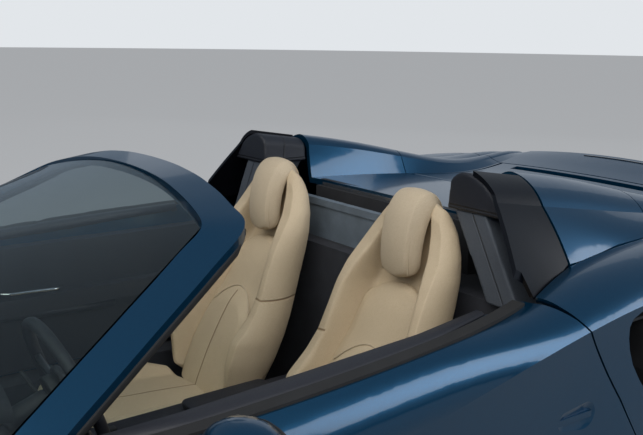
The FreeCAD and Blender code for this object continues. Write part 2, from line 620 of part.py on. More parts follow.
# The head pad, a band over the top of the seat. Columns: x, z of its middle, direction in degrees
HEAD_PAD = [(-690, 850, 95), (-687, 905, 92), (-690, 960, 97), (-702, 1012, 112), (-737, 1050, 150),
            (-783, 1022, 250), (-789, 970, 268)]
head_pad_half = 70.0
head_pad_thickness = 56.0
# Cushion columns: x, underside z, top z, half width
SEAT_BASE = [(-385, 232, 330, 195), (-250, 226, 340, 245), (-20, 224, 362, 252), (110, 236, 366, 236)]


def rounded(points):
    """A closed wire of four arcs through the given corners, each bowed a little outward."""
    centre = points[0]
    for p in points[1:]:
        centre = centre + p
    centre = centre * (1.0 / len(points))
    edges = []
    for a, b in zip(points, points[1:] + points[:1]):
        middle = (a + b) * 0.5
        edges.append(Part.Arc(a, middle + (middle - centre) * 0.10, b).toShape())
    return Part.Wire(edges)


def seat_piece(rows, upright):
    wires = []
    for row in rows:
        if upright:
            z, xf, xr, w = row
            corners = [V(xf, w, z), V(xr, w * 0.8, z), V(xr, -w * 0.8, z), V(xf, -w, z)]
        else:
            x, z0, z1, w = row
            corners = [V(x, w * 0.9, z0), V(x, w, z1), V(x, -w, z1), V(x, -w * 0.9, z0)]
        wires.append(rounded(corners))
    shape = loft(wires)
    shape.translate(V(0, seat_y, 0))
    return shape


def hollow_section(row):
    z, x, half = row
    corners = [V(x, half, z), V(x, -half, z), V(-300, -half - 25, z), V(-300, half + 25, z)]
    return Part.makePolygon(corners + corners[:1])


def pad_section(row):
    x, z, degrees = row
    a = math.radians(degrees - 90)
    out = V(math.cos(a), 0, math.sin(a)) * (head_pad_thickness / 2)
    middle, side = V(x, 0, z), V(0, head_pad_half, 0)
    corners = [middle + out + side, middle - out + side, middle - out - side, middle + out - side]
    return rounded(corners)


head_pad = Part.makeLoft([pad_section(row) for row in HEAD_PAD], True, False)
head_pad.translate(V(0, seat_y, 0))
hollow_cut = Part.makeLoft([hollow_section(row) for row in SEAT_HOLLOW], True, False)
hollow_cut.translate(V(0, seat_y, 0))
back = seat_piece(SEAT_BACK, True).cut(hollow_cut).fuse(head_pad).removeSplitter()
base = seat_piece(SEAT_BASE, False)
base = base.cut(back)
save("seat_backs", both(back))
save("seat_cushions", both(base))
tub = tub.cut(both(base))

save("cabin_tub", tub)

# Steering wheel, on the end of its column
hub_at = column_foot + column_way * 190.3
rim_ring = Part.makeTorus(168, 15, hub_at + column_way * 40, column_way)
hub = Part.makeCylinder(58, 44, hub_at, column_way)
spoke = Part.makeBox(330, 40, 12, V(-165, -20, 34))
spoke.Placement = FreeCAD.Placement(hub_at, FreeCAD.Rotation(V(0, 0, 1), column_way))
across = Part.makeBox(40, 320, 12, V(-20, -160, 32))
across.Placement = FreeCAD.Placement(hub_at, FreeCAD.Rotation(V(0, 0, 1), column_way))
save("steering_wheel", rim_ring.fuse(hub).fuse(across).removeSplitter())


# Wheels, made about the origin with their outer side to +Y
def polar(r, degrees, y=0.0):
    a = math.radians(degrees)
    return V(r * math.cos(a), y, r * math.sin(a))


def revolve(points):
    face = Part.Face(Part.makePolygon([V(r, y, 0) for r, y in points] + [V(points[0][0], points[0][1], 0)]))
    return face.revolve(V(0, 0, 0), V(0, 1, 0), 360)


def tyre(radius, width):
    h = width / 2
    return revolve([
        (rim_radius, -h + 22), (radius - 42, -h), (radius - 12, -h + 12), (radius, -h + 34),
        (radius, h - 34), (radius - 12, h - 12), (radius - 42, h), (rim_radius, h - 22),
    ])


def rim(width, face_y):
    h = width / 2 - 12
    t = 8.0
    r = rim_radius - 0.5
    barrel = revolve([(r, -h), (r, h), (r - 10, h), (r - 22, h - 14), (r - 26, -h + 14), (r - 14, -h)])
    shape = barrel.fuse(Part.makeCylinder(hub_radius, 34, V(0, face_y, 0), V(0, 1, 0)))
    for i in range(spoke_pairs):
        middle = 90 + 360.0 * i / spoke_pairs
        for side in (-1, 1):
            corners = [polar(50, middle + side * 4, face_y + 8), polar(50, middle + side * 34, face_y + 8),
                       polar(244, middle + side * 15, face_y + 8), polar(244, middle + side * 9.5, face_y + 8)]
            spoke_face = Part.Face(Part.makePolygon(corners + corners[:1]))
            shape = shape.fuse(spoke_face.extrude(V(0, 26, 0)))
    return shape.removeSplitter()


def disc(face_y, disc_y, stub_y):
    shape = Part.makeCylinder(disc_radius, disc_thickness, V(0, disc_y, 0), V(0, 1, 0))
    shape = shape.cut(Part.makeCylinder(hub_radius + 12, disc_thickness - 12, V(0, disc_y - 1, 0), V(0, 1, 0)))
    shape = shape.fuse(Part.makeCylinder(hub_radius - 1, face_y - disc_y - 14, V(0, disc_y + 14, 0), V(0, 1, 0)))
    return shape.fuse(Part.makeCylinder(axle_radius, disc_y - stub_y + 16, V(0, stub_y, 0), V(0, 1, 0))).removeSplitter()


# Columns: name, axle x, wheel centre y, tyre radius, tyre width, hub face, disc and stub end from the centre
WHEELS = [
    ("front", front_axle_x, front_track_half, front_tyre_radius, front_tyre_width, 40, -18, -96),
    ("rear", rear_axle_x, rear_track_half, rear_tyre_radius, rear_tyre_width, 62, -8, -96),
]
for name, x, y, radius, width, face_y, disc_y, stub_y in WHEELS:
    centre = V(x, y, radius)
    for kind, shape in (
        ("tyre", tyre(radius, width)),
        ("rim", rim(width, face_y)),
        ("disc", disc(face_y, disc_y, stub_y)),
    ):
        shape.translate(centre)
        save(kind + "_" + name + "_left", shape)
        save(kind + "_" + name + "_right", mirrored(shape))
    # Upright or knuckle, with the caliper over the disc
    inner, outer = y + stub_y - 2, y + disc_y - 15
    block = box(x - 45, x + 45, inner, outer, radius - 150, radius + 150)
    block = block.fuse(box(x + 40, x + 150, outer - 14, outer, radius - 50, radius + 50))
    block = block.cut(cylinder_y(axle_radius + axle_clearance, x, radius, inner - 5, outer + 5))
    if name == "front":
        block = block.fuse(Part.makeCylinder(12, 36, V(x, kingpin_y, radius + 149)))
        block = block.fuse(Part.makeCylinder(12, 36, V(x, kingpin_y, radius - 185)))
    caliper = box(x + 118, x + 208, outer, y + disc_y + disc_thickness + 17, radius - 78, radius + 78)
    slot = box(x + 100, x + 201, y + disc_y - 4, y + disc_y + disc_thickness + 4, radius - 90, radius + 90)
    caliper = caliper.cut(slot)
    block = block.removeSplitter()
    if name == "front":
        save("knuckle_left", block)
        save("knuckle_right", mirrored(block))
        save("caliper_front_left", caliper)
        save("caliper_front_right", mirrored(caliper))
    else:
        rear_upright = block
        save("calipers_rear", both(caliper))

# Suspension arms and the frames that carry them
arms = []
front_arm_y = 480.0
for z0 in (front_tyre_radius + 160, front_tyre_radius - 180):
    face = [(front_axle_x - 150, front_arm_y), (front_axle_x - 110, front_arm_y), (front_axle_x + 6, kingpin_y - 24),
            (front_axle_x + 110, front_arm_y), (front_axle_x + 150, front_arm_y),
            (front_axle_x + 22, kingpin_y - 6), (front_axle_x - 22, kingpin_y - 6)]
    arm = plan_prism(face, z0, z0 + 20).fuse(Part.makeCylinder(27, 20, V(front_axle_x, kingpin_y, z0)))
    arms.append(arm.cut(Part.makeCylinder(12.5, 22, V(front_axle_x, kingpin_y, z0 - 1))).removeSplitter())
save("front_arms", both(Part.makeCompound(arms)))
front_rail = box(tub_front_x, 2140, 457, 476, 200, 320)
front_rail = front_rail.fuse(box(tub_front_x, front_axle_x + 160, 457, front_arm_y - 0.3, 162, 660))
front_rail = front_rail.fuse(box(2080, 2110, 457, 476, 200, 500))
front_frame = both(front_rail).fuse(box(2100, 2140, -476, 476, 422, 500)).fuse(box(2138, 2249.7, -260, 260, 430, 490))
front_frame = front_frame.fuse(luggage).fuse(box(tub_front_x, 2008, -476, 476, 170, 183))
front_frame = front_frame.cut(box(2110, 2145, -600, 600, 150, 421)).removeSplitter()
save("front_frame", front_frame)
rear_inner_y = rear_track_half - 98
rear_suspension = rear_upright
for z0 in (rear_tyre_radius + 100, rear_tyre_radius - 140):
    face = [(rear_axle_x - 150, 480), (rear_axle_x - 110, 480), (rear_axle_x, rear_inner_y - 40),
            (rear_axle_x + 110, 480), (rear_axle_x + 150, 480), (rear_axle_x + 30, rear_inner_y),
            (rear_axle_x - 30, rear_inner_y)]
    rear_suspension = rear_suspension.fuse(plan_prism(face, z0, z0 + 24))
save("rear_suspension", both(rear_suspension.removeSplitter()))
rail = box(-2055, tub_rear_x - 0.3, 430, 480, 202, 360).fuse(box(-2249.7, -2050, 430, 480, 310, 360))
rail = rail.fuse(box(rear_axle_x - 160, rear_axle_x + 160, 440, 480, 203, 660))
rail = rail.fuse(box(rear_axle_x - 30, rear_axle_x + 30, 470, rear_well_inner_y - 0.3, 600, 640))
rear_frame = both(rail).fuse(box(-2180, -2130, -480, 480, 310, 360))
rear_frame = rear_frame.fuse(box(-2055, tub_rear_x - 0.3, -440, 440, 202, 214)).removeSplitter()
save("rear_frame", rear_frame.cut(both(exhaust)))
save("screen_frame", screen_frame)
save("windscreen", glass)
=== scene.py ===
# %% [markdown]
# # A two-seat convertible car
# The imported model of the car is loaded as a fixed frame: every panel, wheel and bracket already stands at
# its real size and place. This lesson dresses it: paint, glass, leather seats, lamps, tread and the small
# parts.

# %% Load the car
import bpy
import bmesh
import math
from mathutils import Matrix, Vector
from mathutils.bvhtree import BVHTree


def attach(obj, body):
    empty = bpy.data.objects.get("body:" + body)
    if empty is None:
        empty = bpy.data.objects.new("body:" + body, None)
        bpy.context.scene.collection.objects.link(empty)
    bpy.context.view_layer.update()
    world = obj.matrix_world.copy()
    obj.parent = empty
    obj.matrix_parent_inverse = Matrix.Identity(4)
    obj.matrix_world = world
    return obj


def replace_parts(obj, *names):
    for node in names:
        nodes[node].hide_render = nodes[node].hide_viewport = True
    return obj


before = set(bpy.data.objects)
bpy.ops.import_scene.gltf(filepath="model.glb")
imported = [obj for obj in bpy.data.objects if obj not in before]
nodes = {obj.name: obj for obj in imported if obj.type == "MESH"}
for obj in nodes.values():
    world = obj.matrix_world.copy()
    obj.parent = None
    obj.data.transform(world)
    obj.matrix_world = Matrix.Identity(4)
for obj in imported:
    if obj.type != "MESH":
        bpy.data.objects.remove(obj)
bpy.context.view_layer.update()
SIDES = ((1, "left"), (-1, "right"))
print("nodes:", len(nodes))

# %% [markdown]
# ## The camera
# The photograph was taken from the left, a little above the windscreen, looking back over the seats. The
# numbers come from fitting the header, the hoops and the belt line to it.

# %% Camera
CAMERA_PLACE = Vector((0.9227, 2.1176, 1.5255))
HEADING, DIP, ROLL = 0.6465, 0.2166, 0.0136  # in radians
FOCAL_LENGTH, PHOTO_WIDTH = 844.2, 643  # in pixels of the photograph
SENSOR = 36.0
forward = Vector((-math.sin(HEADING) * math.cos(DIP), -math.cos(HEADING) * math.cos(DIP), -math.sin(DIP)))
level = forward.cross(Vector((0, 0, 1))).normalized()
upward = level.cross(forward)
right = math.cos(ROLL) * level + math.sin(ROLL) * upward
above = math.cos(ROLL) * upward - math.sin(ROLL) * level
camera = bpy.data.objects.new("camera", bpy.data.cameras.new("camera"))
bpy.context.collection.objects.link(camera)
aimed = Matrix((right, above, -forward)).transposed().to_4x4()
camera.matrix_world = Matrix.Translation(CAMERA_PLACE) @ aimed
camera.data.sensor_fit = "HORIZONTAL"
camera.data.sensor_width = SENSOR
camera.data.lens = FOCAL_LENGTH / PHOTO_WIDTH * SENSOR
camera.data.clip_end = 200.0
bpy.context.scene.camera = camera
bpy.context.scene.view_settings.view_transform = "Standard"
print("lens", round(camera.data.lens, 2), "mm")

# %% [markdown]
# ## Writing shaders as sums
# A material is a small graph of nodes. `Socket` wraps one output of such a node, so that a sum on it adds
# the Math nodes by itself, and `Look.add` makes any other node.

# %% Socket
class Socket:
    """An output of a shader node, which can be used in sums."""

    def __init__(self, look, socket):
        self.look = look
        self.socket = socket

    def maths(self, operation, *values):
        return self.look.add("ShaderNodeMath", {"operation": operation}, dict(enumerate(values)))

    def __add__(self, other):
        return self.maths("ADD", self, other)

    __radd__ = __add__

    def __mul__(self, other):
        return self.maths("MULTIPLY", self, other)

    __rmul__ = __mul__

    def __sub__(self, other):
        return self.maths("SUBTRACT", self, other)

    def __rsub__(self, other):
        return self.maths("SUBTRACT", other, self)

    def of(self, operation, *others):
        """Another Math operation on this socket, such as SINE or MAXIMUM."""
        return self.maths(operation, self, *others)

    def step(self, low, high):
        """0 under low, 1 over high, and smooth between them."""
        inputs = {"Value": self, "From Min": low, "From Max": high}
        return self.look.add("ShaderNodeMapRange", {"interpolation_type": "SMOOTHSTEP"}, inputs)


# %% Look
class Look:
    """A material that is being put together."""

    NAMES = {"base": "Base Color", "roughness": "Roughness", "metallic": "Metallic", "coat": "Coat Weight",
             "coat_roughness": "Coat Roughness", "normal": "Normal", "ior": "IOR",
             "transmission": "Transmission Weight", "specular": "Specular IOR Level"}

    def __init__(self, name):
        self.material = bpy.data.materials.new(name)
        self.material.use_nodes = True
        self.tree = self.material.node_tree
        self.tree.nodes.clear()
        self.output = self.tree.nodes.new("ShaderNodeOutputMaterial")

    def add(self, kind, settings=None, inputs=None, output=0):
        node = self.tree.nodes.new(kind)
        for key, value in (settings or {}).items():
            setattr(node, key, value)
        for key, value in (inputs or {}).items():
            self.feed(node.inputs[key], value)
        return Socket(self, node.outputs[output])

    def feed(self, socket, value):
        if isinstance(value, Socket):
            self.tree.links.new(value.socket, socket)
        else:
            socket.default_value = value

    def place(self):
        return self.add("ShaderNodeTexCoord", output="Object")

    def spread(self, vector):
        """The x, y and z of a vector."""
        node = self.tree.nodes.new("ShaderNodeSeparateXYZ")
        self.feed(node.inputs[0], vector)
        return [Socket(self, output) for output in node.outputs]

    def noise(self, scale, detail=2.0, output=0, **inputs):
        inputs = {"Vector": self.place(), "Scale": scale, "Detail": detail, **inputs}
        return self.add("ShaderNodeTexNoise", None, inputs, output)

    def cells(self, scale, vector=None, feature="F1", output=0):
        inputs = {"Vector": vector or self.place(), "Scale": scale}
        return self.add("ShaderNodeTexVoronoi", {"feature": feature}, inputs, output)

    def blend(self, factor, a, b):
        """A colour between a and b."""
        return self.add("ShaderNodeMix", {"data_type": "RGBA"}, {"Factor": factor, 6: a, 7: b}, output=2)

    def bump(self, height, distance, strength=1.0):
        inputs = {"Height": height, "Distance": distance, "Strength": strength}
        return self.add("ShaderNodeBump", None, inputs)

    def principled(self, **inputs):
        """A Principled shader with these values."""
        inputs = {self.NAMES[key]: value for key, value in inputs.items()}
        return self.add("ShaderNodeBsdfPrincipled", None, inputs)

    def show(self, shader):
        """Makes a shader the material's surface and returns the material."""
        self.tree.links.new(shader.socket, self.output.inputs["Surface"])
        return self.material

    def finish(self, **inputs):
        return self.show(self.principled(**inputs))


# %% Colours
def linear(value):
    """The light that a picture's value from 0 to 255 stands for, from 0 to 1."""
    value /= 255.0
    return value / 12.92 if value <= 0.04045 else ((value + 0.055) / 1.055) ** 2.4


def colour(red, green, blue):
    """A shader colour from the 0 to 255 values of a picture."""
    return (linear(red), linear(green), linear(blue), 1.0)


def times(tone, factor):
    """The same colour, darker or brighter."""
    return tuple(value * factor for value in tone[:3]) + (1.0,)


# %% [markdown]
# ## Studio
# A pale floor, a pale sky and three large soft lamps. The lamps stay gentle, so that a colour shows about as
# it is written; the sky that the camera sees is set apart from the sky that lights the car.

# %% Floor
def plain_floor(own_share=0.55):
    """A wide disc. The camera sees a share of its brightness as its own, so that it is pale everywhere."""
    bm = bmesh.new()
    bmesh.ops.create_circle(bm, cap_ends=True, segments=96, radius=70.0)
    mesh = bpy.data.meshes.new("floor")
    bm.to_mesh(mesh)
    bm.free()
    floor = bpy.data.objects.new("floor", mesh)
    bpy.context.collection.objects.link(floor)
    look = Look("floor")
    tone = look.noise(40.0, 3.0).step(0.3, 0.7)
    pale = look.blend(tone, colour(208, 210, 212), colour(212, 213, 215))
    base = look.blend(tone, colour(138, 141, 144), colour(142, 145, 148))
    diffuse = look.principled(base=base, roughness=0.85)
    own = look.add("ShaderNodeEmission", None, {"Color": pale, "Strength": 1.0})
    seen = look.add("ShaderNodeLightPath", output="Is Camera Ray")
    mixed = look.add("ShaderNodeMixShader", None, {0: seen * own_share, 1: diffuse, 2: own})
    floor.data.materials.append(look.show(mixed))


plain_floor()

# %% Lamps
def soft_lamp(name, place, aim, size, power, tint=(1, 1, 1)):
    lamp = bpy.data.objects.new(name, bpy.data.lights.new(name, "AREA"))
    lamp.data.shape = "RECTANGLE"
    lamp.data.size, lamp.data.size_y = size
    lamp.data.energy = power
    lamp.data.color = tint
    way = Vector(aim) - Vector(place)
    lamp.matrix_world = Matrix.Translation(place) @ way.to_track_quat("-Z", "Y").to_matrix().to_4x4()
    bpy.context.collection.objects.link(lamp)


soft_lamp("key", (4.0, 3.5, 7.0), (0, 0, 0.6), (13.0, 9.0), 860.0, (1.0, 0.97, 0.93))
soft_lamp("fill", (-6.5, 6.5, 4.5), (0, 0, 0.6), (6.0, 4.0), 240.0, (0.93, 0.96, 1.0))
soft_lamp("far", (-8.5, -6.5, 3.8), (0, 0, 0.8), (13.0, 6.0), 50.0)
print("lamps:", len(bpy.data.lights))

# %% Sky
world = bpy.data.worlds.new("sky")
world.use_nodes = True
bpy.context.scene.world = world
sky = world.node_tree
sky.nodes.clear()


def background(tone, strength):
    node = sky.nodes.new("ShaderNodeBackground")
    node.inputs["Color"].default_value = tone
    node.inputs["Strength"].default_value = strength
    return node.outputs[0]


either = sky.nodes.new("ShaderNodeMixShader")
sky.links.new(sky.nodes.new("ShaderNodeLightPath").outputs["Is Camera Ray"], either.inputs[0])
sky.links.new(background(colour(196, 216, 238), 0.30), either.inputs[1])
sky.links.new(background(colour(226, 230, 234), 1.0), either.inputs[2])
sky.links.new(either.outputs[0], sky.nodes.new("ShaderNodeOutputWorld").inputs[0])

# %% [markdown]
# ## Paint
# Metallic paint is tiny flakes in blue under a clear coat. The flakes are cells a fraction of a millimetre
# across that differ in brightness, and the clear coat gives the sharp reflection over the softer one of the
# flakes.

# %% Paint
def metallic_paint(name, dark, bright, flake_scale=2600.0):
    look = Look(name)
    flakes = look.cells(flake_scale)
    sparkle = look.spread(look.cells(flake_scale, output="Color"))[0]
    ripple = look.noise(260.0)
    base = look.blend(sparkle * 0.5 + flakes * 0.3, dark, bright)
    return look.finish(base=base, metallic=0.72, roughness=0.28, coat=0.8, coat_roughness=0.07,
                       normal=look.bump(ripple, 0.00003, 0.25))


paint = metallic_paint("blue_paint", colour(0, 46, 74), colour(0, 84, 122))

# %% [markdown]
# ## Leather
# Leather grain is a net of creases round small raised cells. A noise shakes the cells' outlines, so that
# they look grown, and the colour has a soft mottling. The high cells are polished a little, the creases are
# darker.

# %% Leather
GRAIN = 620.0


def raised_cells(look, shaken=True):
    """1 on the raised cells of the grain and 0 in the creases between them."""
    place = None
    if shaken:
        shake = look.noise(240.0, output="Color")
        place = look.add("ShaderNodeVectorMath", {"operation": "MULTIPLY_ADD"},
                         {0: shake, 1: (0.0016, 0.0016, 0.0016), 2: look.place()})
    return look.cells(GRAIN, place, "DISTANCE_TO_EDGE").step(0.02, 0.22)


def leather(name, base, crease, depth):
    look = Look(name)
    cells = raised_cells(look)
    fine = look.noise(GRAIN * 3.2)
    mottle = look.noise(9.0, 4.0)
    shade = look.blend(cells * 0.7 + mottle * 0.3, crease, base)
    return look.finish(base=shade, roughness=0.64 - cells * 0.12 + (mottle - 0.5) * 0.12,
                       normal=look.bump(cells * 0.8 + fine * 0.2, depth, 0.7))


tan_leather = leather("tan_leather", colour(207, 191, 165), colour(177, 159, 132), 0.00022)
dark_leather = leather("dark_leather", colour(36, 38, 46), colour(26, 27, 34), 0.0001)

# %% [markdown]
# ## Plastic, rubber, metal and glass
# The rest of the car is made of a few plain materials. Each has its own fine texture: moulded plastic and
# rubber are pebbled, gloss has a faint ripple, metal is speckled and a little stained, and glass has a haze
# of colour.

# %% Plastic and rubber
def moulded_plastic(name, base, rough=0.55, pebble=900.0, depth=0.00012, specular=0.5):
    look = Look(name)
    pebbles = look.cells(pebble, feature="SMOOTH_F1")
    tone = look.noise(14.0, 3.0).step(0.35, 0.75)
    return look.finish(base=look.blend(tone, base, times(base, 1.35)), roughness=rough + pebbles * 0.1,
                       specular=specular, normal=look.bump(pebbles, depth, 0.6))


black_plastic = moulded_plastic("black_plastic", colour(30, 31, 33))
soft_black = moulded_plastic("soft_black", colour(36, 37, 40), 0.7, 700.0)
carpet = moulded_plastic("carpet", colour(40, 42, 48), 0.92, 1500.0, 0.0008)
rubber = moulded_plastic("rubber", colour(26, 26, 27), 0.72, 1300.0, 0.00006)
tyre_rubber = moulded_plastic("tyre_rubber", colour(36, 36, 37), 0.8, 500.0)
satin_black = moulded_plastic("satin_black", colour(6, 8, 15), 0.34, 1500.0, 0.00003, 0.3)
grey_panel = moulded_plastic("grey_panel", colour(92, 102, 111), 0.5, 1100.0, 0.00005)
# Painted shade for the fuel flap's gap: a near-black for the cord that stands where only the gap's shade
# shows.
gap_shade = moulded_plastic("gap_shade", colour(9, 10, 12), 0.8)

# %% Gloss
def gloss(name, base, rough):
    look = Look(name)
    ripple = look.noise(90.0)
    return look.finish(base=look.blend(look.noise(3.0), base, times(base, 1.2)), roughness=rough, coat=1.0,
                       coat_roughness=0.03, normal=look.bump(ripple, 0.00004, 0.3))


gloss_black = gloss("gloss_black", colour(14, 15, 19), 0.08)
piano_black = gloss("piano_black", colour(10, 10, 12), 0.05)
caliper_red = gloss("caliper_red", colour(150, 22, 20), 0.2)
cover_red = gloss("cover_red", colour(122, 20, 18), 0.42)
pearl = gloss("pearl", colour(232, 236, 240), 0.12)
plate_white = gloss("plate_white", colour(222, 224, 222), 0.25)

# %% Metal
def metal(name, base, rough, grain=160.0, metallic=1.0):
    look = Look(name)
    speck = look.noise(grain, 4.0)
    stain = look.noise(6.0, 3.0).step(0.3, 0.7)
    return look.finish(base=look.blend(stain, times(base, 0.8), base), metallic=metallic,
                       roughness=rough - 0.05 + speck * 0.1, normal=look.bump(speck, 0.00004, 0.4))


silver_alloy = metal("silver_alloy", colour(186, 189, 193), 0.3, metallic=0.9)
dark_alloy = metal("dark_alloy", colour(96, 98, 102), 0.42)
cast_iron = metal("cast_iron", colour(92, 90, 88), 0.38, grain=420.0)
dark_steel = metal("dark_steel", colour(52, 54, 57), 0.5, metallic=0.7)
bright_steel = metal("bright_steel", colour(205, 206, 208), 0.16)
mirror_glass = metal("mirror_glass", colour(215, 220, 224), 0.02)

# %% Glass
def clear_glass(name, tint, transmission=1.0, rough=0.0):
    look = Look(name)
    haze = look.noise(7.0, 3.0).step(0.2, 0.8)
    return look.finish(base=look.blend(haze, tint, times(tint, 1.04)), transmission=transmission,
                       roughness=rough, ior=1.45)


screen_glass = clear_glass("screen_glass", colour(226, 238, 234))
lamp_cover = clear_glass("lamp_cover", colour(244, 246, 248))
red_lens = clear_glass("red_lens", colour(205, 26, 24), 0.55, 0.06)
smoked = clear_glass("smoked", colour(120, 124, 130), 0.8, 0.02)

# %% [markdown]
# ## Meshes as a material
# The grilles, the vents and the speakers have a woven mesh: thin pale wires over dark gaps. It is too fine
# to be modelled, so two sets of slanted lines cross in the material.

# %% Woven mesh
def woven_mesh(name, pitch, wire, gap):
    look = Look(name)
    _, y, z = look.spread(look.place())
    lines = [(slant * (math.pi / pitch)).of("SINE").of("ABSOLUTE").step(0.42, 0.18)
             for slant in (y + z, y - z)]
    wires = lines[0].of("MAXIMUM", lines[1])
    return look.finish(base=look.blend(wires, gap, wire), roughness=0.75 - wires * 0.3,
                       normal=look.bump(wires, 0.002))


grille_mesh = woven_mesh("grille", 0.014, colour(70, 72, 76), colour(6, 6, 7))
vent_mesh = woven_mesh("vent", 0.010, colour(48, 49, 52), colour(5, 5, 6))
speaker_mesh = woven_mesh("speaker", 0.0042, colour(40, 42, 46), colour(6, 6, 8))
print("materials:", len(bpy.data.materials))

# %% [markdown]
# ## Dressing the frame
# The CAD pieces keep their shape; only their material slots are filled. Each finish goes to the pieces whose
# names start with one of its words, and the longest such word wins.

# %% Finishes of the CAD pieces
FINISHES = [
    (paint, "door_ front_wing front_lid front_bumper rear_quarter rear_bumper tonneau engine_lid "
            "screen_frame sills mirror"),
    (dark_leather, "door_trim dashboard hoops steering_wheel"), (tan_leather, "seat_backs seat_cushions"),
    (black_plastic, "cowl intake_ducts rear_diffuser"), (soft_black, "rear_shelf wheel_liners"),
    (satin_black, "quarter_panels"), (grey_panel, "wind_stop"), (carpet, "cabin_tub"), (rubber, "belt_seal"),
    (tyre_rubber, "tyre"), (grille_mesh, "front_grilles"), (caliper_red, "caliper"), (cast_iron, "disc"),
    (dark_steel, "door_hinges front_arms front_frame rear_frame rear_suspension"),
    (dark_alloy, "engine knuckle"), (bright_steel, "exhausts"), (silver_alloy, "rim"),
    (screen_glass, "windscreen"), (lamp_cover, "headlamps"), (red_lens, "tail_lamps"),
]
finish_of = {start: finish for finish, starts in FINISHES for start in starts.split()}
for name, node in nodes.items():
    start = max((word for word in finish_of if name.startswith(word)), key=len)
    node.data.materials.clear()
    node.data.materials.append(finish_of[start])
print("dressed:", len(nodes), "CAD pieces in", len(FINISHES), "finishes")

# %% [markdown]
# ## Making a piece
# Every added piece goes through one helper: it takes a finished bmesh, turns its faces outward, makes it an
# object at the origin, gives it its material and fixes it to the body of the car that carries it.

# %% One piece
made = []


def make_piece(name, bm, material, body="body", smooth=True, recalculate=True):
    if recalculate:
        bmesh.ops.recalc_face_normals(bm, faces=bm.faces)
    mesh = bpy.data.meshes.new(name)
    bm.to_mesh(mesh)
    bm.free()
    for polygon in mesh.polygons:
        polygon.use_smooth = smooth
    piece = bpy.data.objects.new(name, mesh)
    bpy.context.collection.objects.link(piece)
    mesh.materials.append(material)
    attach(piece, body)
    made.append(name)
    return piece


def say_made(what):
    """Prints the names of the pieces made since the last call."""
    print(what + ":", ", ".join(made))
    made.clear()


def add_modifier(piece, kind, **settings):
    modifier = piece.modifiers.new(kind.lower(), kind)
    for key, value in settings.items():
        setattr(modifier, key, value)


def padded_piece(name, bm, material, body="body", levels=1):
    """A tightly stuffed pad, whose surface is made finer and rounder."""
    piece = make_piece(name, bm, material, body)
    add_modifier(piece, "SUBSURF", levels=levels, render_levels=levels)
    return piece


# %% Steps, tables and even spacing
def soft_step(low, high, value):
    t = min(1.0, max(0.0, (value - low) / (high - low)))
    return t * t * (3 - 2 * t)


def between(rows, at):
    """The values of a table at one place between its rows. The first column is the place, rising."""
    if at <= rows[0][0]:
        return rows[0][1:]
    for a, b in zip(rows, rows[1:]):
        if at <= b[0]:
            t = (at - a[0]) / (b[0] - a[0])
            return tuple(p + (q - p) * t for p, q in zip(a[1:], b[1:]))
    return rows[-1][1:]


def spaced(count):
    """Evenly spaced numbers from 0 to 1."""
    return [i / (count - 1) for i in range(count)]


def circle(count):
    """The cosine and sine of evenly spaced angles, once round."""
    return [(math.cos(2 * math.pi * i / count), math.sin(2 * math.pi * i / count)) for i in range(count)]


# %% Padded blocks
def cushion_block(cuts):
    """A cube from -1 to 1 with even cuts, the start of each padded piece."""
    bm = bmesh.new()
    bmesh.ops.create_cube(bm, size=2.0)
    bmesh.ops.subdivide_edges(bm, edges=bm.edges, cuts=cuts, use_grid_fill=True)
    return bm


def round_off(point, k):
    """A point of the cube drawn in towards a ball: k of 0 keeps the cube, 1 makes the ball."""
    def drawn_in(a, b, c):
        return a * math.sqrt(max(0.0, 1 - k * (b * b + c * c) / 2 + k * k * b * b * c * c / 3))
    x, y, z = point
    return Vector((drawn_in(x, y, z), drawn_in(y, x, z), drawn_in(z, x, y)))


# %% Cords
def swept_cord(name, points, radius, material, body="body", closed=False):
    """A round cord along a smooth line through the points, made into a mesh."""
    curve = bpy.data.curves.new(name, "CURVE")
    curve.dimensions = "3D"
    curve.bevel_depth = radius
    curve.bevel_resolution = 3
    curve.use_fill_caps = True
    line = curve.splines.new("NURBS")
    line.points.add(len(points) - 1)
    for point, place in zip(line.points, points):
        point.co = (*place, 1.0)
    line.order_u = 3
    line.use_endpoint_u = not closed
    line.use_cyclic_u = closed
    line.resolution_u = 8
    holder = bpy.data.objects.new(name, curve)
    mesh = bpy.data.meshes.new_from_object(holder)
    bpy.data.objects.remove(holder)
    bm = bmesh.new()
    bm.from_mesh(mesh)
    bpy.data.meshes.remove(mesh)
    bmesh.ops.remove_doubles(bm, verts=bm.verts, dist=1e-6)
    return make_piece(name, bm, material, body)


# %% [markdown]
# ## Seats
# The seats are sewn from smooth leather. The seams are drawn in the seat's own front view, which a UV map
# gives in metres: one up the middle of the back and a slanted pair at its waist, each with a row of stitches
# beside it.

# %% Seat leather
def stitches(seam, beside, wide, run, gap):
    """1 on a row of stitches beside a seam, from the distance to the seam and a phase that runs along it."""
    return (seam - beside).of("ABSOLUTE").step(wide, 0.0004) * run.of("SINE").step(-gap, gap)


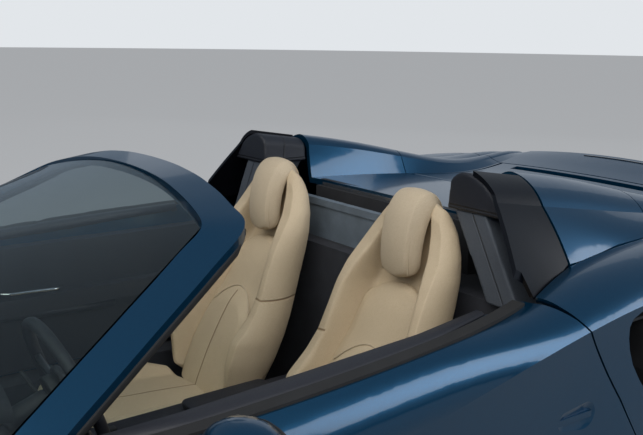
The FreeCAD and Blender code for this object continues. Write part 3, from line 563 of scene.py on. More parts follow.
def seat_material():
    look = Look("seat_leather")
    across, up, _ = look.spread(look.add("ShaderNodeUVMap", {"uv_map": "panel"}))
    across = across.of("ABSOLUTE")
    spine = across + (up - 0.628).step(-0.004, 0.004)
    cuff = (up - (0.66 - across * 0.1)).of("ABSOLUTE") + (0.162 - across).step(-0.004, 0.004)
    seam = spine.of("MINIMUM", cuff)
    groove = seam.step(0.0008, 0.0045)
    stitch = stitches(seam, 0.0075, 0.0012, (up + across) * 1100.0, 0.3)
    cells = raised_cells(look)
    mottle = look.noise(9.0, 4.0)
    creases = look.noise(34.0, 3.0, Distortion=1.2).step(0.4, 0.62)
    shade = look.blend(cells * 0.6 + mottle * 0.4, colour(180, 160, 130), colour(212, 194, 164))
    # Painted shade: the seam grooves are coloured a darker brown, on top of the bump that sinks them.
    shade = look.blend(groove, colour(140, 116, 86), shade)
    shade = look.blend(stitch * 0.5, shade, colour(222, 204, 176))
    height = groove * 6.0 + cells * 0.5 + stitch * 1.2 + creases * 0.8
    return look.finish(base=shade, roughness=0.56 - cells * 0.1 + (mottle - 0.5) * 0.12,
                       normal=look.bump(height, 0.0004, 0.8))


SEAT_Y = 0.36
seat_leather = seat_material()


def seat_pad(name, bm, side, up=Vector((0, 0, 1)), start=0.0):
    """Gives a pad of the seat its front view as a UV map, its leather and a finer surface."""
    view = bm.loops.layers.uv.new("panel")
    for face in bm.faces:
        for loop in face.loops:
            place = loop.vert.co
            loop[view].uv = (place.y - side * SEAT_Y, start + up.dot(place))
    return padded_piece(name, bm, seat_leather)


# %% [markdown]
# Each seat back is a tall padded shell. Two wings run up from the cushion, close in and meet in a round top.
# A cube cut into a fine grid is drawn into that outline from a table, and smooth steps across the width make
# the wings and the hollow between them.

# %% Seat backs
# Columns: z, x of the wings' front, x of the rear, half width, x of the panel, x of the hollow, half width of
# the panel
BACK_ROWS = [
    (0.262, -0.400, -0.540, 0.196, -0.408, -0.420, 0.140),
    (0.340, -0.398, -0.572, 0.228, -0.438, -0.460, 0.150),
    (0.430, -0.400, -0.612, 0.240, -0.478, -0.512, 0.152),
    (0.510, -0.428, -0.645, 0.240, -0.520, -0.556, 0.150),
    (0.580, -0.500, -0.672, 0.230, -0.562, -0.596, 0.145),
    (0.640, -0.538, -0.696, 0.218, -0.606, -0.640, 0.138),
    (0.720, -0.570, -0.724, 0.210, -0.646, -0.684, 0.134),
    (0.790, -0.598, -0.748, 0.207, -0.680, -0.722, 0.128),
    (0.850, -0.634, -0.766, 0.203, -0.716, -0.740, 0.112),
    (0.910, -0.680, -0.780, 0.190, -0.742, -0.752, 0.092),
    (0.970, -0.712, -0.790, 0.164, -0.752, -0.758, 0.070),
    (1.030, -0.732, -0.790, 0.122, -0.756, -0.758, 0.050),
    (1.068, -0.742, -0.784, 0.084, -0.756, -0.758, 0.040),
]
BACK_TOP = 1.070


def seat_back(name, side):
    bm = cushion_block(47)
    low = BACK_ROWS[0][0]
    for vertex in bm.verts:
        p = round_off(vertex.co, 0.34)
        z = low + (BACK_TOP - low) * (p.z + 1) / 2
        front, rear, half, _, hollow, inner = between(BACK_ROWS, z)
        wing = soft_step(inner - 0.004, inner + 0.030, abs(p.y * half))
        x = hollow + (front - hollow) * wing
        depth = (p.x + 1) / 2
        vertex.co = (rear + (x - rear) * depth, p.y * half + side * SEAT_Y, z)
    return seat_pad(name, bm, side)


backs = [seat_back("seat_back_" + word, side) for side, word in SIDES]
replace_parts(backs[0], "seat_backs")
say_made("seat backs")

# %% [markdown]
# In the hollow between the wings lies a raised panel, arched at its top. The lower half of that panel is a
# second, thicker pad, the waist, and a cord of piping runs along its arch.

# %% Panels between the wings
PANEL_THICK = 0.034
WAIST_TOP, WAIST_ARCH = 0.640, 5.0


def panel_pad(name, side, low, top, arch, proud, slim):
    """An upright pad between the wings. Its top falls off by arch times the square of the distance."""
    bm = cushion_block(23)
    for vertex in bm.verts:
        p = round_off(vertex.co, 0.16)
        edge = soft_step(1.0, 0.72, max(abs(p.y), abs(p.z) if p.z > 0 else 0.0))
        share = (p.z + 1) / 2
        half = between(BACK_ROWS, low + (top - low) * share)[5] + 0.008 - slim
        y = p.y * half
        z = low + (top - arch * y * y - low) * share
        panel = between(BACK_ROWS, z)[3] + proud
        crown = 0.010 * (1 - p.y * p.y)
        depth = (p.x + 1) / 2
        x = panel - PANEL_THICK + (PANEL_THICK + crown - 0.012 * (1 - edge)) * depth
        vertex.co = (x, y + side * SEAT_Y, z)
    seat_pad(name, bm, side)


def waist_piping(name, side):
    line = []
    for t in spaced(13):
        y = 0.118 * (2 * t - 1)
        z = WAIST_TOP - 0.002 - WAIST_ARCH * y * y
        line.append((between(BACK_ROWS, z)[3] + 0.013 - 0.4 * y * y, side * SEAT_Y + y, z))
    swept_cord(name, line, 0.0026, tan_leather)


for side, word in SIDES:
    panel_pad("seat_panel_" + word, side, 0.300, 0.808, 2.6, 0.0, 0.0)
    panel_pad("seat_waist_" + word, side, 0.290, WAIST_TOP, WAIST_ARCH, 0.016, 0.010)
    waist_piping("waist_piping_" + word, side)
say_made("seat panels")

# %% [markdown]
# The head pad is one band of padded leather. It hangs in front of the neck with a free lower lip, runs up
# over the top of the seat and down behind it. A block is bent along that path, and a cord of piping closes
# each of its long edges.

# %% Path of the head pads
# The band's middle, from the lower lip over the top to the back. Columns: x, z
PAD_PATH = [(-0.694, 0.834), (-0.686, 0.880), (-0.688, 0.935), (-0.699, 0.990), (-0.717, 1.030),
            (-0.742, 1.053), (-0.768, 1.050), (-0.784, 1.022), (-0.788, 0.975)]


def along_pad(t):
    """A point of the smoothed path for t from 0 to 1, and the direction out of the pad there."""
    place = t * (len(PAD_PATH) - 1)
    i = min(int(place), len(PAD_PATH) - 2)
    f = place - i
    a, b = Vector(PAD_PATH[i]), Vector(PAD_PATH[i + 1])
    before = Vector(PAD_PATH[max(i - 1, 0)])
    after = Vector(PAD_PATH[min(i + 2, len(PAD_PATH) - 1)])
    m, n = (b - before) / 2, (after - a) / 2
    point = ((2 * f**3 - 3 * f**2 + 1) * a + (f**3 - 2 * f**2 + f) * m
             + (3 * f**2 - 2 * f**3) * b + (f**3 - f**2) * n)
    way = ((6 * f**2 - 6 * f) * a + (3 * f**2 - 4 * f + 1) * m
           + (6 * f - 6 * f**2) * b + (3 * f**2 - 2 * f) * n).normalized()
    return point, Vector((way.y, -way.x))


def lip_narrowing(t):
    return 0.006 * soft_step(0.12, 0.0, t)


# %% Head pads
def head_pad(name, side):
    bm = cushion_block(19)
    for vertex in bm.verts:
        p = round_off(vertex.co, 0.36)
        t = (p.z + 1) / 2
        point, out = along_pad(t)
        thick = 0.029 * (0.75 + 0.25 * soft_step(0.9, 0.6, t))
        half = 0.057 + 0.027 * (1 - p.x) / 2 - lip_narrowing(t)
        crown = 0.005 * (1 - p.y * p.y) if p.x > 0 else 0.0
        offset = p.x * (thick + crown)
        vertex.co = (point.x + out.x * offset, p.y * half + side * SEAT_Y, point.y + out.y * offset)
    padded_piece(name, bm, tan_leather)


def pad_piping(name, side, edge):
    points = []
    for t in [0.05 + 0.9 * share for share in spaced(15)]:
        point, out = along_pad(t)
        half = 0.0575 - lip_narrowing(t)
        points.append((point.x + out.x * 0.016, side * SEAT_Y + edge * half, point.y + out.y * 0.016))
    swept_cord(name, points, 0.0022, tan_leather)


for side, word in SIDES:
    head_pad("head_pad_" + word, side)
for side, word in SIDES:
    pad_piping("head_piping_" + word + "_outer", side, side)
    pad_piping("head_piping_" + word + "_inner", side, -side)
say_made("head pads")

# %% [markdown]
# The seat cushion is made like the back, from rows along the seat: bolsters on both sides and a hollow
# between them, with a low crown in its middle.

# %% Seat cushions
# Columns: x, underside z, z at the bolsters, half width, depth of the hollow, half width of the hollow
BASE_ROWS = [
    (-0.420, 0.236, 0.322, 0.190, 0.020, 0.140),
    (-0.300, 0.228, 0.352, 0.240, 0.040, 0.150),
    (-0.150, 0.226, 0.368, 0.250, 0.046, 0.155),
    (0.000, 0.226, 0.374, 0.252, 0.034, 0.160),
    (0.080, 0.232, 0.366, 0.244, 0.010, 0.160),
    (0.112, 0.240, 0.350, 0.238, 0.0, 0.160),
]


def seat_cushion(name, side):
    bm = cushion_block(27)
    low, high = BASE_ROWS[0][0], BASE_ROWS[-1][0]
    for vertex in bm.verts:
        p = round_off(vertex.co, 0.30)
        x = low + (high - low) * (p.x + 1) / 2
        under, top, half, hollow, inner = between(BASE_ROWS, x)
        y = p.y * half
        upper = soft_step(0.0, 0.9, vertex.co.z)
        sunk = upper * soft_step(inner + 0.036, inner - 0.004, abs(y))
        crown = 0.008 * math.cos(min(1.0, abs(y) / inner) * math.pi / 2)
        vertex.co = (x, y + side * SEAT_Y, under + (top - under) * (p.z + 1) / 2 + (crown - hollow) * sunk)
    return seat_pad(name, bm, side, up=Vector((-0.5, 0, 0)), start=0.35)


cushions = [seat_cushion("seat_cushion_" + word, side) for side, word in SIDES]
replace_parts(cushions[0], "seat_cushions")
say_made("seat cushions")

# %% [markdown]
# ## Soft-edged copies
# A padded or moulded part of the frame has rounder edges than its plain solid. Its mesh is copied and
# merged, rebuilt from small even faces by a voxel remesh, and smoothed, which rounds every edge and leaves
# its place and size alone.

# %% Soft-edged copy
def softened(name, node, material, voxel, rounds, low=-math.inf, high=math.inf):
    """A rounded copy of a CAD piece, or of what stands between two heights."""
    bm = bmesh.new()
    bm.from_mesh(nodes[node].data)
    bmesh.ops.remove_doubles(bm, verts=bm.verts, dist=1e-5)
    bmesh.ops.delete(bm, geom=[v for v in bm.verts if not low < v.co.z < high], context="VERTS")
    piece = make_piece(name, bm, material, recalculate=False)
    add_modifier(piece, "REMESH", mode="VOXEL", voxel_size=voxel, use_smooth_shade=True)
    add_modifier(piece, "SMOOTH", factor=0.5, iterations=rounds)
    bpy.context.view_layer.update()
    finished = bpy.data.meshes.new_from_object(piece.evaluated_get(bpy.context.evaluated_depsgraph_get()))
    piece.modifiers.clear()
    piece.data = finished
    print(name, len(finished.polygons), "faces")
    return piece


# %% [markdown]
# ## Hoops
# Behind each seat a padded cap in dark leather sits on a grey leather column, with piping along the cap's
# front edge and a seam round its lower edge. The seams are drawn in the material, each where a plane cuts
# the cover.

# %% Hoop leather
def hoop_leather(name, base, crease, seams):
    """Leather with sewn seams. Each seam is a plane: its direction and its place along it."""
    look = Look(name)
    x, y, z = look.spread(look.place())
    y = y.of("ABSOLUTE")
    seam, *others = [(x * across + y * out + z * up - place).of("ABSOLUTE")
                     for (across, out, up), place in seams]
    for other in others:
        seam = seam.of("MINIMUM", other)
    groove = seam.step(0.0006, 0.0035)
    stitch = stitches(seam, 0.006, 0.0011, (x + y + z) * 1000.0, 0.2)
    cells = raised_cells(look, shaken=False)
    mottle = look.noise(9.0, 4.0)
    folds = look.noise(26.0, 3.0)
    shade = look.blend(cells * 0.7 + mottle * 0.3, crease, base)
    # Painted shade: the seam grooves are coloured far darker than the grain's creases, on top of the bump
    # that sinks them.
    shade = look.blend(groove, times(crease, 0.4), shade)
    height = groove * 5.0 + cells * 0.5 + stitch * 0.9 + folds * 1.5
    return look.finish(base=shade, roughness=0.46 + mottle * 0.12 - cells * 0.08,
                       normal=look.bump(height, 0.0004, 0.8))


cap_leather = hoop_leather("cap_leather", colour(34, 38, 48), colour(18, 20, 27),
                           [((0.0, 0.0, 1.0), 1.058), ((1.0, 0.0, 0.18), -0.657)])
column_leather = hoop_leather("column_leather", colour(92, 99, 108), colour(64, 70, 79),
                              [((0.0, 0.88, 0.475), 0.985)])

# %% Hoop caps and columns
CAP_FOOT = 1.0449
caps = softened("hoop_caps", "hoops", cap_leather, 0.004, 14, low=CAP_FOOT)
columns = softened("hoop_columns", "hoops", column_leather, 0.004, 7, high=CAP_FOOT)
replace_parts(caps, "hoops")
for side, word in SIDES:
    edge = [(-0.771, 0.470), (-0.771, 0.520), (-0.771, 0.570), (-0.772, 0.610)]
    swept_cord("cap_piping_" + word, [(x, side * y, 1.0485) for x, y in edge], 0.0028, column_leather)
say_made("hoops")

# %% [markdown]
# ## Strips round the cockpit
# Two kinds of dark strip frame the cockpit: a rubber seal under the whole rear edge of the screen frame, and
# a soft trim along the inner top of each door beside the belt seal. Each is a short outline that is carried
# along a line of stations and bridged from one station to the next.

# %% Bridged rings
def bridged(rings, closed=False):
    """Bridges closed rings of points, one to the next. Open runs get end caps."""
    bm = bmesh.new()
    loops = []
    for ring in rings:
        verts = [bm.verts.new(p) for p in ring]
        loops.append([bm.edges.new(pair) for pair in zip(verts, verts[1:] + verts[:1])])
    for a, b in zip(loops, loops[1:] + (loops[:1] if closed else [])):
        bmesh.ops.bridge_loops(bm, edges=a + b)
    if not closed:
        bmesh.ops.holes_fill(bm, edges=[e for e in bm.edges if e.is_boundary])
    return bm


def strip(name, rings, material, body="body", bevel=0.0):
    piece = make_piece(name, bridged(rings), material, body)
    if bevel:
        add_modifier(piece, "BEVEL", width=bevel, segments=3, limit_method="ANGLE")
    return piece


def with_mirror(half, shared=None):
    """A line on the left and its mirror image, run back. With shared of -1 the last point is used once."""
    return half + [(x, -y, z) for x, y, z in reversed(half[:shared])]


# %% Screen frame seal
# Outer edge of the screen frame from the pillar's foot to the middle of the header. Columns: x, y, z
FRAME_EDGE = [(0.454, 0.796, 0.855), (0.339, 0.744, 0.912), (0.224, 0.692, 0.970), (0.109, 0.640, 1.027),
              (-0.006, 0.588, 1.085), (-0.049, 0.546, 1.111), (-0.060, 0.480, 1.129), (-0.078, 0.345, 1.158),
              (-0.088, 0.208, 1.176), (-0.093, 0.069, 1.183)]
# The seal's outline across the edge. Columns: way outward, height
SEAL_OUTLINE = [(-0.020, 0.002), (-0.018, -0.010), (-0.002, -0.011), (0.003, 0.0), (0.003, 0.011),
                (-0.004, 0.013)]
BELOW_EDGE = Vector((0, 0, -0.030))


def screen_seal():
    line = [Vector(place) for place in with_mirror(FRAME_EDGE)]
    rings = []
    for i, place in enumerate(line):
        way = (line[min(i + 1, len(line) - 1)] - line[max(i - 1, 0)]).normalized()
        outward = way.cross(Vector((0, 0, 1))).normalized()
        if outward.x > 0:
            outward = -outward
        rings.append([place + BELOW_EDGE + outward * out + Vector((0, 0, up)) for out, up in SEAL_OUTLINE])
    strip("screen_seal", rings, rubber, bevel=0.002)


screen_seal()

# %% Door top trims
# Columns: x, y of the seal's inner edge, z of the door's top
DOOR_TOP = [(0.425, 0.839, 0.8255), (0.250, 0.852, 0.8265), (-0.050, 0.857, 0.8385), (-0.350, 0.845, 0.8525),
            (-0.560, 0.808, 0.8640)]


def door_top_ring(side, x, outer, top):
    inner = min(0.797, outer - 0.030)
    outline = [(inner, -0.020), (inner, 0.001), (inner + 0.006, 0.006), (outer - 0.006, 0.007),
               (outer + 0.001, 0.002), (outer + 0.001, -0.002), (inner + 0.003, -0.003),
               (inner + 0.003, -0.020)]
    return [(x, side * y, top + up) for y, up in outline]


for side, word in SIDES:
    rings = [door_top_ring(side, *row) for row in DOOR_TOP]
    strip("door_top_trim_" + word, rings, dark_leather, "door_" + word)
say_made("strips")

# %% [markdown]
# ## Rear window
# Behind the wind stop the small rear window stands a little above the shelf, a thin pane that shows as a
# bright edge. It is a block with its edges bevelled, as are the number plate, the switches and the engine's
# covers.

# %% Blocks
def cuboid(size, centre=(0, 0, 0)):
    bm = bmesh.new()
    bmesh.ops.create_cube(bm, size=1.0)
    bmesh.ops.scale(bm, vec=size, verts=bm.verts)
    bmesh.ops.translate(bm, vec=centre, verts=bm.verts)
    return bm


def bevel_edges(bm, edges, offset, segments):
    bmesh.ops.bevel(bm, geom=edges, offset=offset, offset_type="OFFSET", segments=segments, affect="EDGES",
                    profile=0.5, material=-1)


def slab(size, centre, bevel, segments=2, corner=0.0):
    """A block with rounded edges. With a corner radius, its four edges along X are rounded more."""
    bm = cuboid(size)
    if corner:
        along_x = [e for e in bm.edges if abs(e.verts[0].co.x - e.verts[1].co.x) > 1e-6]
        bevel_edges(bm, along_x, corner, 5)
    bevel_edges(bm, [e for e in bm.edges if e.calc_face_angle(0) > 1.0], bevel, segments)
    bmesh.ops.translate(bm, vec=centre, verts=bm.verts)
    return bm


# %% Rear window
make_piece("rear_window", slab((0.004, 0.750, 0.052), (-0.9625, 0, 0.950), 0.0012), smoked)
say_made("window")

# %% [markdown]
# ## Turned parts
# Tyres, caps, bolts, lamps, dials and knobs are turned parts: half of an outline is spun once round an axis.

# %% Turned parts
def turned(bm, degrees, axis):
    matrix = Matrix.Rotation(math.radians(degrees), 3, axis)
    bmesh.ops.rotate(bm, verts=bm.verts, cent=(0, 0, 0), matrix=matrix)
    return bm


def spun(outline, steps=40, axis="y"):
    """A turned part from (radius, height) points, with its height along the axis."""
    bm = bmesh.new()
    verts = [bm.verts.new((r, y, 0)) for r, y in outline]
    edges = [bm.edges.new(pair) for pair in zip(verts, verts[1:])]
    bmesh.ops.spin(bm, geom=verts + edges, cent=(0, 0, 0), axis=(0, 1, 0), angle=2 * math.pi, steps=steps,
                   use_merge=True)
    bmesh.ops.remove_doubles(bm, verts=bm.verts, dist=1e-5)
    if axis == "x":
        turned(bm, -90, "Z")
    if axis == "z":
        turned(bm, 90, "X")
    return bm


def placed(bm, centre, side=1):
    """Mirrors a part that faces +Y to face the given side, and moves it to its place."""
    if side < 0:
        bmesh.ops.scale(bm, vec=(1, -1, 1), verts=bm.verts)
    bmesh.ops.translate(bm, vec=centre, verts=bm.verts)
    return bm


def joined(parts):
    """One bmesh from several."""
    whole = bmesh.new()
    for bm in parts:
        mesh = bpy.data.meshes.new("part")
        bm.to_mesh(mesh)
        bm.free()
        whole.from_mesh(mesh)
        bpy.data.meshes.remove(mesh)
    return whole


# %% [markdown]
# ## Tyres
# A tyre's outline has four grooves round it and a rounded shoulder. The spin's steps are moved in groups of
# four, so that each group makes one tread block with a slanted groove after it.

# %% Tyres
# Half of the outline from the bead to the crown. Columns: depth below the tread in m, share of the half width
TYRE_OUTLINE = [
    (0.0805, 0.78), (0.0790, 0.84), (0.0740, 0.90), (0.0660, 0.95), (0.0580, 0.985), (0.0545, 0.990),
    (0.0530, 1.0), (0.0440, 1.0), (0.0425, 0.992), (0.0320, 0.985), (0.0210, 0.965), (0.0120, 0.925),
    (0.0058, 0.87), (0.0018, 0.79), (0.0006, 0.66), (0.0003, 0.60), (0.0068, 0.585), (0.0068, 0.515),
    (0.0, 0.50), (0.0, 0.34), (0.0, 0.245), (0.0068, 0.23), (0.0068, 0.155), (0.0, 0.14), (0.0, 0.05),
]
BLOCKS = 54
STEP = 2 * math.pi / (4 * BLOCKS)
# How far each step of a group is moved, in steps: the second and third are the walls of the slanted groove
MOVES = (0.0, -0.35, 0.95, 0.30)
WALLS = (1, 2)
GROOVE_DEPTH, TREAD_DEPTH, SLANT = 0.0055, 0.018, 0.10
# Columns: name, axle x, centre y, radius, width, y of the rim's face
WHEELS = [("front", 1.145, 0.838, 0.342, 0.245, 0.912), ("rear", -1.505, 0.822, 0.346, 0.305, 0.918)]


def tyre(name, centre, radius, width, body):
    half = width / 2
    left = [(radius - 0.0005 - depth, share * half) for depth, share in TYRE_OUTLINE]
    bm = spun(left + [(r, -y) for r, y in reversed(left)], 4 * BLOCKS)
    for vertex in bm.verts:
        x, y, z = vertex.co
        r, turn = math.hypot(x, z), math.atan2(z, x)
        if r > radius - TREAD_DEPTH:
            place = round(turn / STEP) % 4
            turn += MOVES[place] * STEP + SLANT * soft_step(0.0, half, abs(y))
            if place in WALLS:
                r -= (GROOVE_DEPTH * soft_step(0.30 * half, 0.36 * half, abs(y))
                      * soft_step(radius - 0.017, radius - 0.004, r))
        vertex.co = (centre[0] + r * math.cos(turn), centre[1] + y, centre[2] + r * math.sin(turn))
    piece = make_piece(name, bm, tyre_rubber, body)
    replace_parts(piece, name.replace("tread", "tyre"))


for end, x, y, radius, width, _ in WHEELS:
    for side, word in SIDES:
        tyre(f"tread_{end}_{word}", (x, side * y, radius), radius, width, f"wheel_{end}_{word}")
say_made("tyres")

# %% [markdown]
# ## Wheel dressing
# Each wheel gets five bolts round a centre cap. A bolt is the same kind of spun outline, with only six
# steps.

# %% Centre caps and bolts
CAP = [(0.0, 0.012), (0.018, 0.0115), (0.026, 0.0095), (0.0295, 0.006), (0.031, 0.0), (0.034, -0.002),
       (0.034, -0.006)]
BOLT = [(0.0, 0.006), (0.006, 0.006), (0.0065, 0.008), (0.0115, 0.008), (0.0125, 0.0065), (0.0128, -0.004)]
BOLT_CIRCLE = 0.056


def wheel_bolts(x, face, radius, side):
    bolts = []
    for i in range(5):
        angle = math.radians(90 + 36 + 72 * i)
        across, up = BOLT_CIRCLE * math.cos(angle), BOLT_CIRCLE * math.sin(angle)
        bolts.append(placed(spun(BOLT, 6), (x + across, side * (face + 0.001), radius + up), side))
    return joined(bolts)


for end, x, _, radius, _, face in WHEELS:
    for side, word in SIDES:
        wheel = f"{end}_{word}"
        cap = placed(spun(CAP), (x, side * face, radius), side)
        bolts = wheel_bolts(x, face, radius, side)
        make_piece("cap_" + wheel, cap, piano_black, "wheel_" + wheel)
        make_piece("bolts_" + wheel, bolts, bright_steel, "wheel_" + wheel, smooth=False)
say_made("wheels")

# %% [markdown]
# ## Pieces that lie on a panel
# Some trim has to lie exactly on a panel. A search tree over the panel's mesh tells where a straight line
# meets it, and the trim's points are dropped onto the panel along such lines.

# %% Dropping points onto a panel
DOWN = (0, 0, -1)
trees = {}


def drop(node, start, way):
    """The place where a line from the start first meets a node's surface."""
    if node not in trees:
        mesh = nodes[node].data
        trees[node] = BVHTree.FromPolygons([v.co for v in mesh.vertices], [p.vertices for p in mesh.polygons])
    return trees[node].ray_cast(Vector(start), Vector(way))[0]


# %% [markdown]
# ## Hinge covers
# A small painted plate closes the door's skin over each lower hinge. Its rows of points lie between the skin
# below the hinge and the skin above it.

# %% Hinge covers
SKIN_BELOW, SKIN_ABOVE = 0.468, 0.543


def hinge_cover(side, word):
    bm = bmesh.new()
    lines = []
    for t in spaced(7):
        z = 0.474 + 0.062 * t
        row = []
        for x in (0.5490, 0.5660, 0.5830, 0.5992):
            low, high = [drop("door_" + word, (x, side * 1.2, at), (0, -side, 0)).y
                         for at in (SKIN_BELOW, SKIN_ABOVE)]
            y = low + (high - low) * (z - SKIN_BELOW) / (SKIN_ABOVE - SKIN_BELOW) - side * 0.0002
            row.append(bm.verts.new((x, y, z)))
        lines.append([bm.edges.new(pair) for pair in zip(row, row[1:])])
    for a, b in zip(lines, lines[1:]):
        bmesh.ops.bridge_loops(bm, edges=a + b)
    piece = make_piece("hinge_cover_" + word, bm, paint, "door_" + word)
    add_modifier(piece, "SOLIDIFY", thickness=0.0015, offset=0.0)


for side, word in SIDES:
    hinge_cover(side, word)
say_made("covers")

# %% [markdown]
# ## Door mirrors
# The real mirror is a shell, flatter below than above, with its glass set back in a black bezel. Rounded
# outlines across the shell are bridged from the door side to its tip.

# %% Mirror shells
# Columns: y, half length, height above the middle, depth below it, x of the middle
MIRROR_ROWS = [(0.937, 0.030, 0.030, 0.026, 0.250), (0.952, 0.048, 0.048, 0.036, 0.250),
               (0.975, 0.060, 0.062, 0.044, 0.249), (1.005, 0.066, 0.070, 0.048, 0.248),
               (1.035, 0.067, 0.071, 0.048, 0.247), (1.065, 0.063, 0.066, 0.045, 0.247),
               (1.088, 0.054, 0.054, 0.038, 0.247), (1.104, 0.038, 0.036, 0.027, 0.247),
               (1.111, 0.018, 0.017, 0.013, 0.247)]
MIRROR_Z, MIRROR_FACE = 0.828, 0.1925


def squarish(value, power):
    """A cosine or sine pushed outward, so that a circle of them has fuller corners."""
    return math.copysign(abs(value) ** power, value)


def mirror_shell(side, word):
    rings = []
    for y, half, up, down, middle in MIRROR_ROWS:
        rings.append([(max(middle + half * squarish(c, 0.85), MIRROR_FACE), side * y,
                       MIRROR_Z + (up if s > 0 else down) * squarish(s, 0.9)) for c, s in circle(28)])
    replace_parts(strip("mirror_shell_" + word, rings, paint, "door_" + word), "mirror_" + word)


def mirror_stalk(side, word):
    rings = []
    for t in spaced(6):
        x, y, z = 0.318 - 0.052 * t, 0.872 + 0.092 * t, 0.816 + 0.004 * t
        wide = 0.024 - 0.006 * t
        rings.append([(x + wide * c, side * y, z + 0.010 * s) for c, s in circle(16)])
    strip("mirror_stalk_" + word, rings, gloss_black, "door_" + word)


# %% Mirror glass
def glass_outline(side, wide, high, x):
    return [(x, side * (1.024 + wide * squarish(c, 0.8)), 0.838 + high * squarish(s, 0.8))
            for c, s in circle(32)]


def mirror_glass_and_bezel(side, word):
    rim, glass = (0.066, 0.04032), (0.060, 0.036)
    rings = [glass_outline(side, *size, x) for size, x in ((rim, 0.1926), (rim, 0.1912), (glass, 0.1912),
                                                           (glass, 0.1922))]
    strip("mirror_bezel_" + word, rings, black_plastic, "door_" + word)
    bm = bmesh.new()
    bm.faces.new([bm.verts.new(place) for place in glass_outline(side, *glass, 0.1920)])
    pane = make_piece("mirror_pane_" + word, bm, mirror_glass, "door_" + word, recalculate=False)
    if pane.data.polygons[0].normal.x > 0:
        pane.data.flip_normals()
    add_modifier(pane, "SOLIDIFY", thickness=0.0006, offset=1.0)


for side, word in SIDES:
    mirror_shell(side, word)
    mirror_stalk(side, word)
    mirror_glass_and_bezel(side, word)
say_made("mirrors")

# %% [markdown]
# ## Headlamps
# Under each clear cover lies a dark tray that follows the cover a few centimetres down. Three projector
# lenses stand in it, and a pale light guide runs along its outer edge.

# %% Headlamp trays
# Columns: x, y of the cover's inner edge, y of its outer edge
LAMP_ROWS = [(1.568, 0.8180, 0.8205), (1.640, 0.7730, 0.8095), (1.720, 0.7330, 0.7840),
             (1.800, 0.6930, 0.7575), (1.875, 0.6580, 0.7250), (1.945, 0.6255, 0.6940),
             (1.985, 0.6490, 0.6630)]
UNDER_COVER, TRAY_WALL, TRAY_FLOOR = 0.0100, 0.0015, 0.002


def lamp_tray(side, word):
    rings, guide = [], []
    for x, inner, outer in LAMP_ROWS:
        top, other = [drop("headlamps", (x, side * y, 1.3), DOWN).z - UNDER_COVER for y in (inner, outer)]
        deep = 0.055 * min(1.0, (outer - inner) / 0.05)
        a, b = inner + 0.001, outer - 0.001
        ring = [(a, top), (a, top - deep), (b, other - deep), (b, other), (b - TRAY_WALL, other),
                (b - TRAY_WALL, other - deep + TRAY_FLOOR), (a + TRAY_WALL, top - deep + TRAY_FLOOR),
                (a + TRAY_WALL, top)]
        rings.append([(x, side * y, z) for y, z in ring])
        guide.append((x, side * (b - 0.010), other - 0.020))
    strip("lamp_tray_" + word, rings, piano_black)
    swept_cord("lamp_guide_" + word, guide[1:-1], 0.0055, pearl)


# %% Headlamp lenses
LAMP_LENS = [(0.0, 0.016), (0.009, 0.0145), (0.016, 0.009), (0.019, 0.0)]
LAMP_BEZEL = [(0.019, 0.001), (0.0205, 0.004), (0.0235, 0.004), (0.0245, 0.0), (0.0245, -0.03), (0.0, -0.03)]


def lamp_parts(side, outline):
    parts = []
    for x, y in ((1.925, 0.664), (1.855, 0.696), (1.780, 0.731)):
        top = drop("headlamps", (x, side * y, 1.3), DOWN).z - 0.040
        parts.append(placed(turned(spun(outline, 28, "x"), -28, "Y"), (x, side * y, top)))
    return joined(parts)


for side, word in SIDES:
    lamp_tray(side, word)
    make_piece("lamp_lenses_" + word, lamp_parts(side, LAMP_LENS), lamp_cover)
    make_piece("lamp_bezels_" + word, lamp_parts(side, LAMP_BEZEL), bright_steel)
say_made("headlamps")

# %% [markdown]
# ## Nose
# A thin black frame runs round each front intake, and a black lip runs under the nose. The frame is a cord
# whose points are dropped onto the bumper from the front, a little outside the intake's edge.

# %% Intake frames
CORNERS = ((-1, -1), (1, -1), (1, 1), (-1, 1))
INTAKE_Y, INTAKE_Z = 0.34, 0.325
HALF_WIDTH, HALF_HEIGHT = 0.22264, 0.07725
FOREMOST = 2.2793


def intake_frame(side, word):
    corners = [Vector((INTAKE_Y + a * HALF_WIDTH, INTAKE_Z + b * HALF_HEIGHT)) for a, b in CORNERS]
    points = []
    for corner, following in zip(corners, corners[1:] + corners[:1]):
        for t in (0.02, 0.25, 0.5, 0.75, 0.98):
            y, z = corner.lerp(following, t)
            hit = drop("front_bumper", (2.6, side * y, z), (-1, 0, 0))
            points.append((min(hit.x - 0.0015, FOREMOST), side * y, z))
    swept_cord("intake_frame_" + word, points, 0.0045, black_plastic, closed=True)


for side, word in SIDES:
    intake_frame(side, word)

# %% Front lip
LIP = [(2.030, 0.672, 0.1400), (2.110, 0.612, 0.1580), (2.190, 0.534, 0.1790), (2.240, 0.440, 0.2130),
       (2.272, 0.330, 0.2440), (2.276, 0.165, 0.2450), (2.277, 0.0, 0.2455)]
strip("front_lip", [[(x, y, z + 0.004), (x, y, z - 0.006), (x - 0.06, y * 0.9, z - 0.008),
                     (x - 0.06, y * 0.9, z - 0.002)] for x, y, z in with_mirror(LIP, -1)],
      black_plastic, bevel=0.0015)
say_made("nose")

# %% [markdown]
# ## Wipers
# Two wipers rest low on the windscreen. Each blade is a thin strip that lies on the glass, and its arm is a
# flat bar from a spindle in the cowl.

# %% Wipers
COWL_Z = 0.858
BLADE_BOW = 0.030
KNOB = [(0.0, 0.012), (0.010, 0.011), (0.013, 0.007), (0.014, -0.012)]
# Across the blade. Columns: x, height over the glass
BLADE_OUTLINE = [(-0.003, 0.001), (-0.003, 0.012), (-0.007, 0.016), (0.007, 0.014), (0.004, 0.010),
                 (0.002, 0.0)]


def glass_height(x, y):
    """The height of the windscreen, or of the cowl in front of it."""
    hit = drop("windscreen", (x, y, 1.5), DOWN)
    return hit.z if hit else 0.84


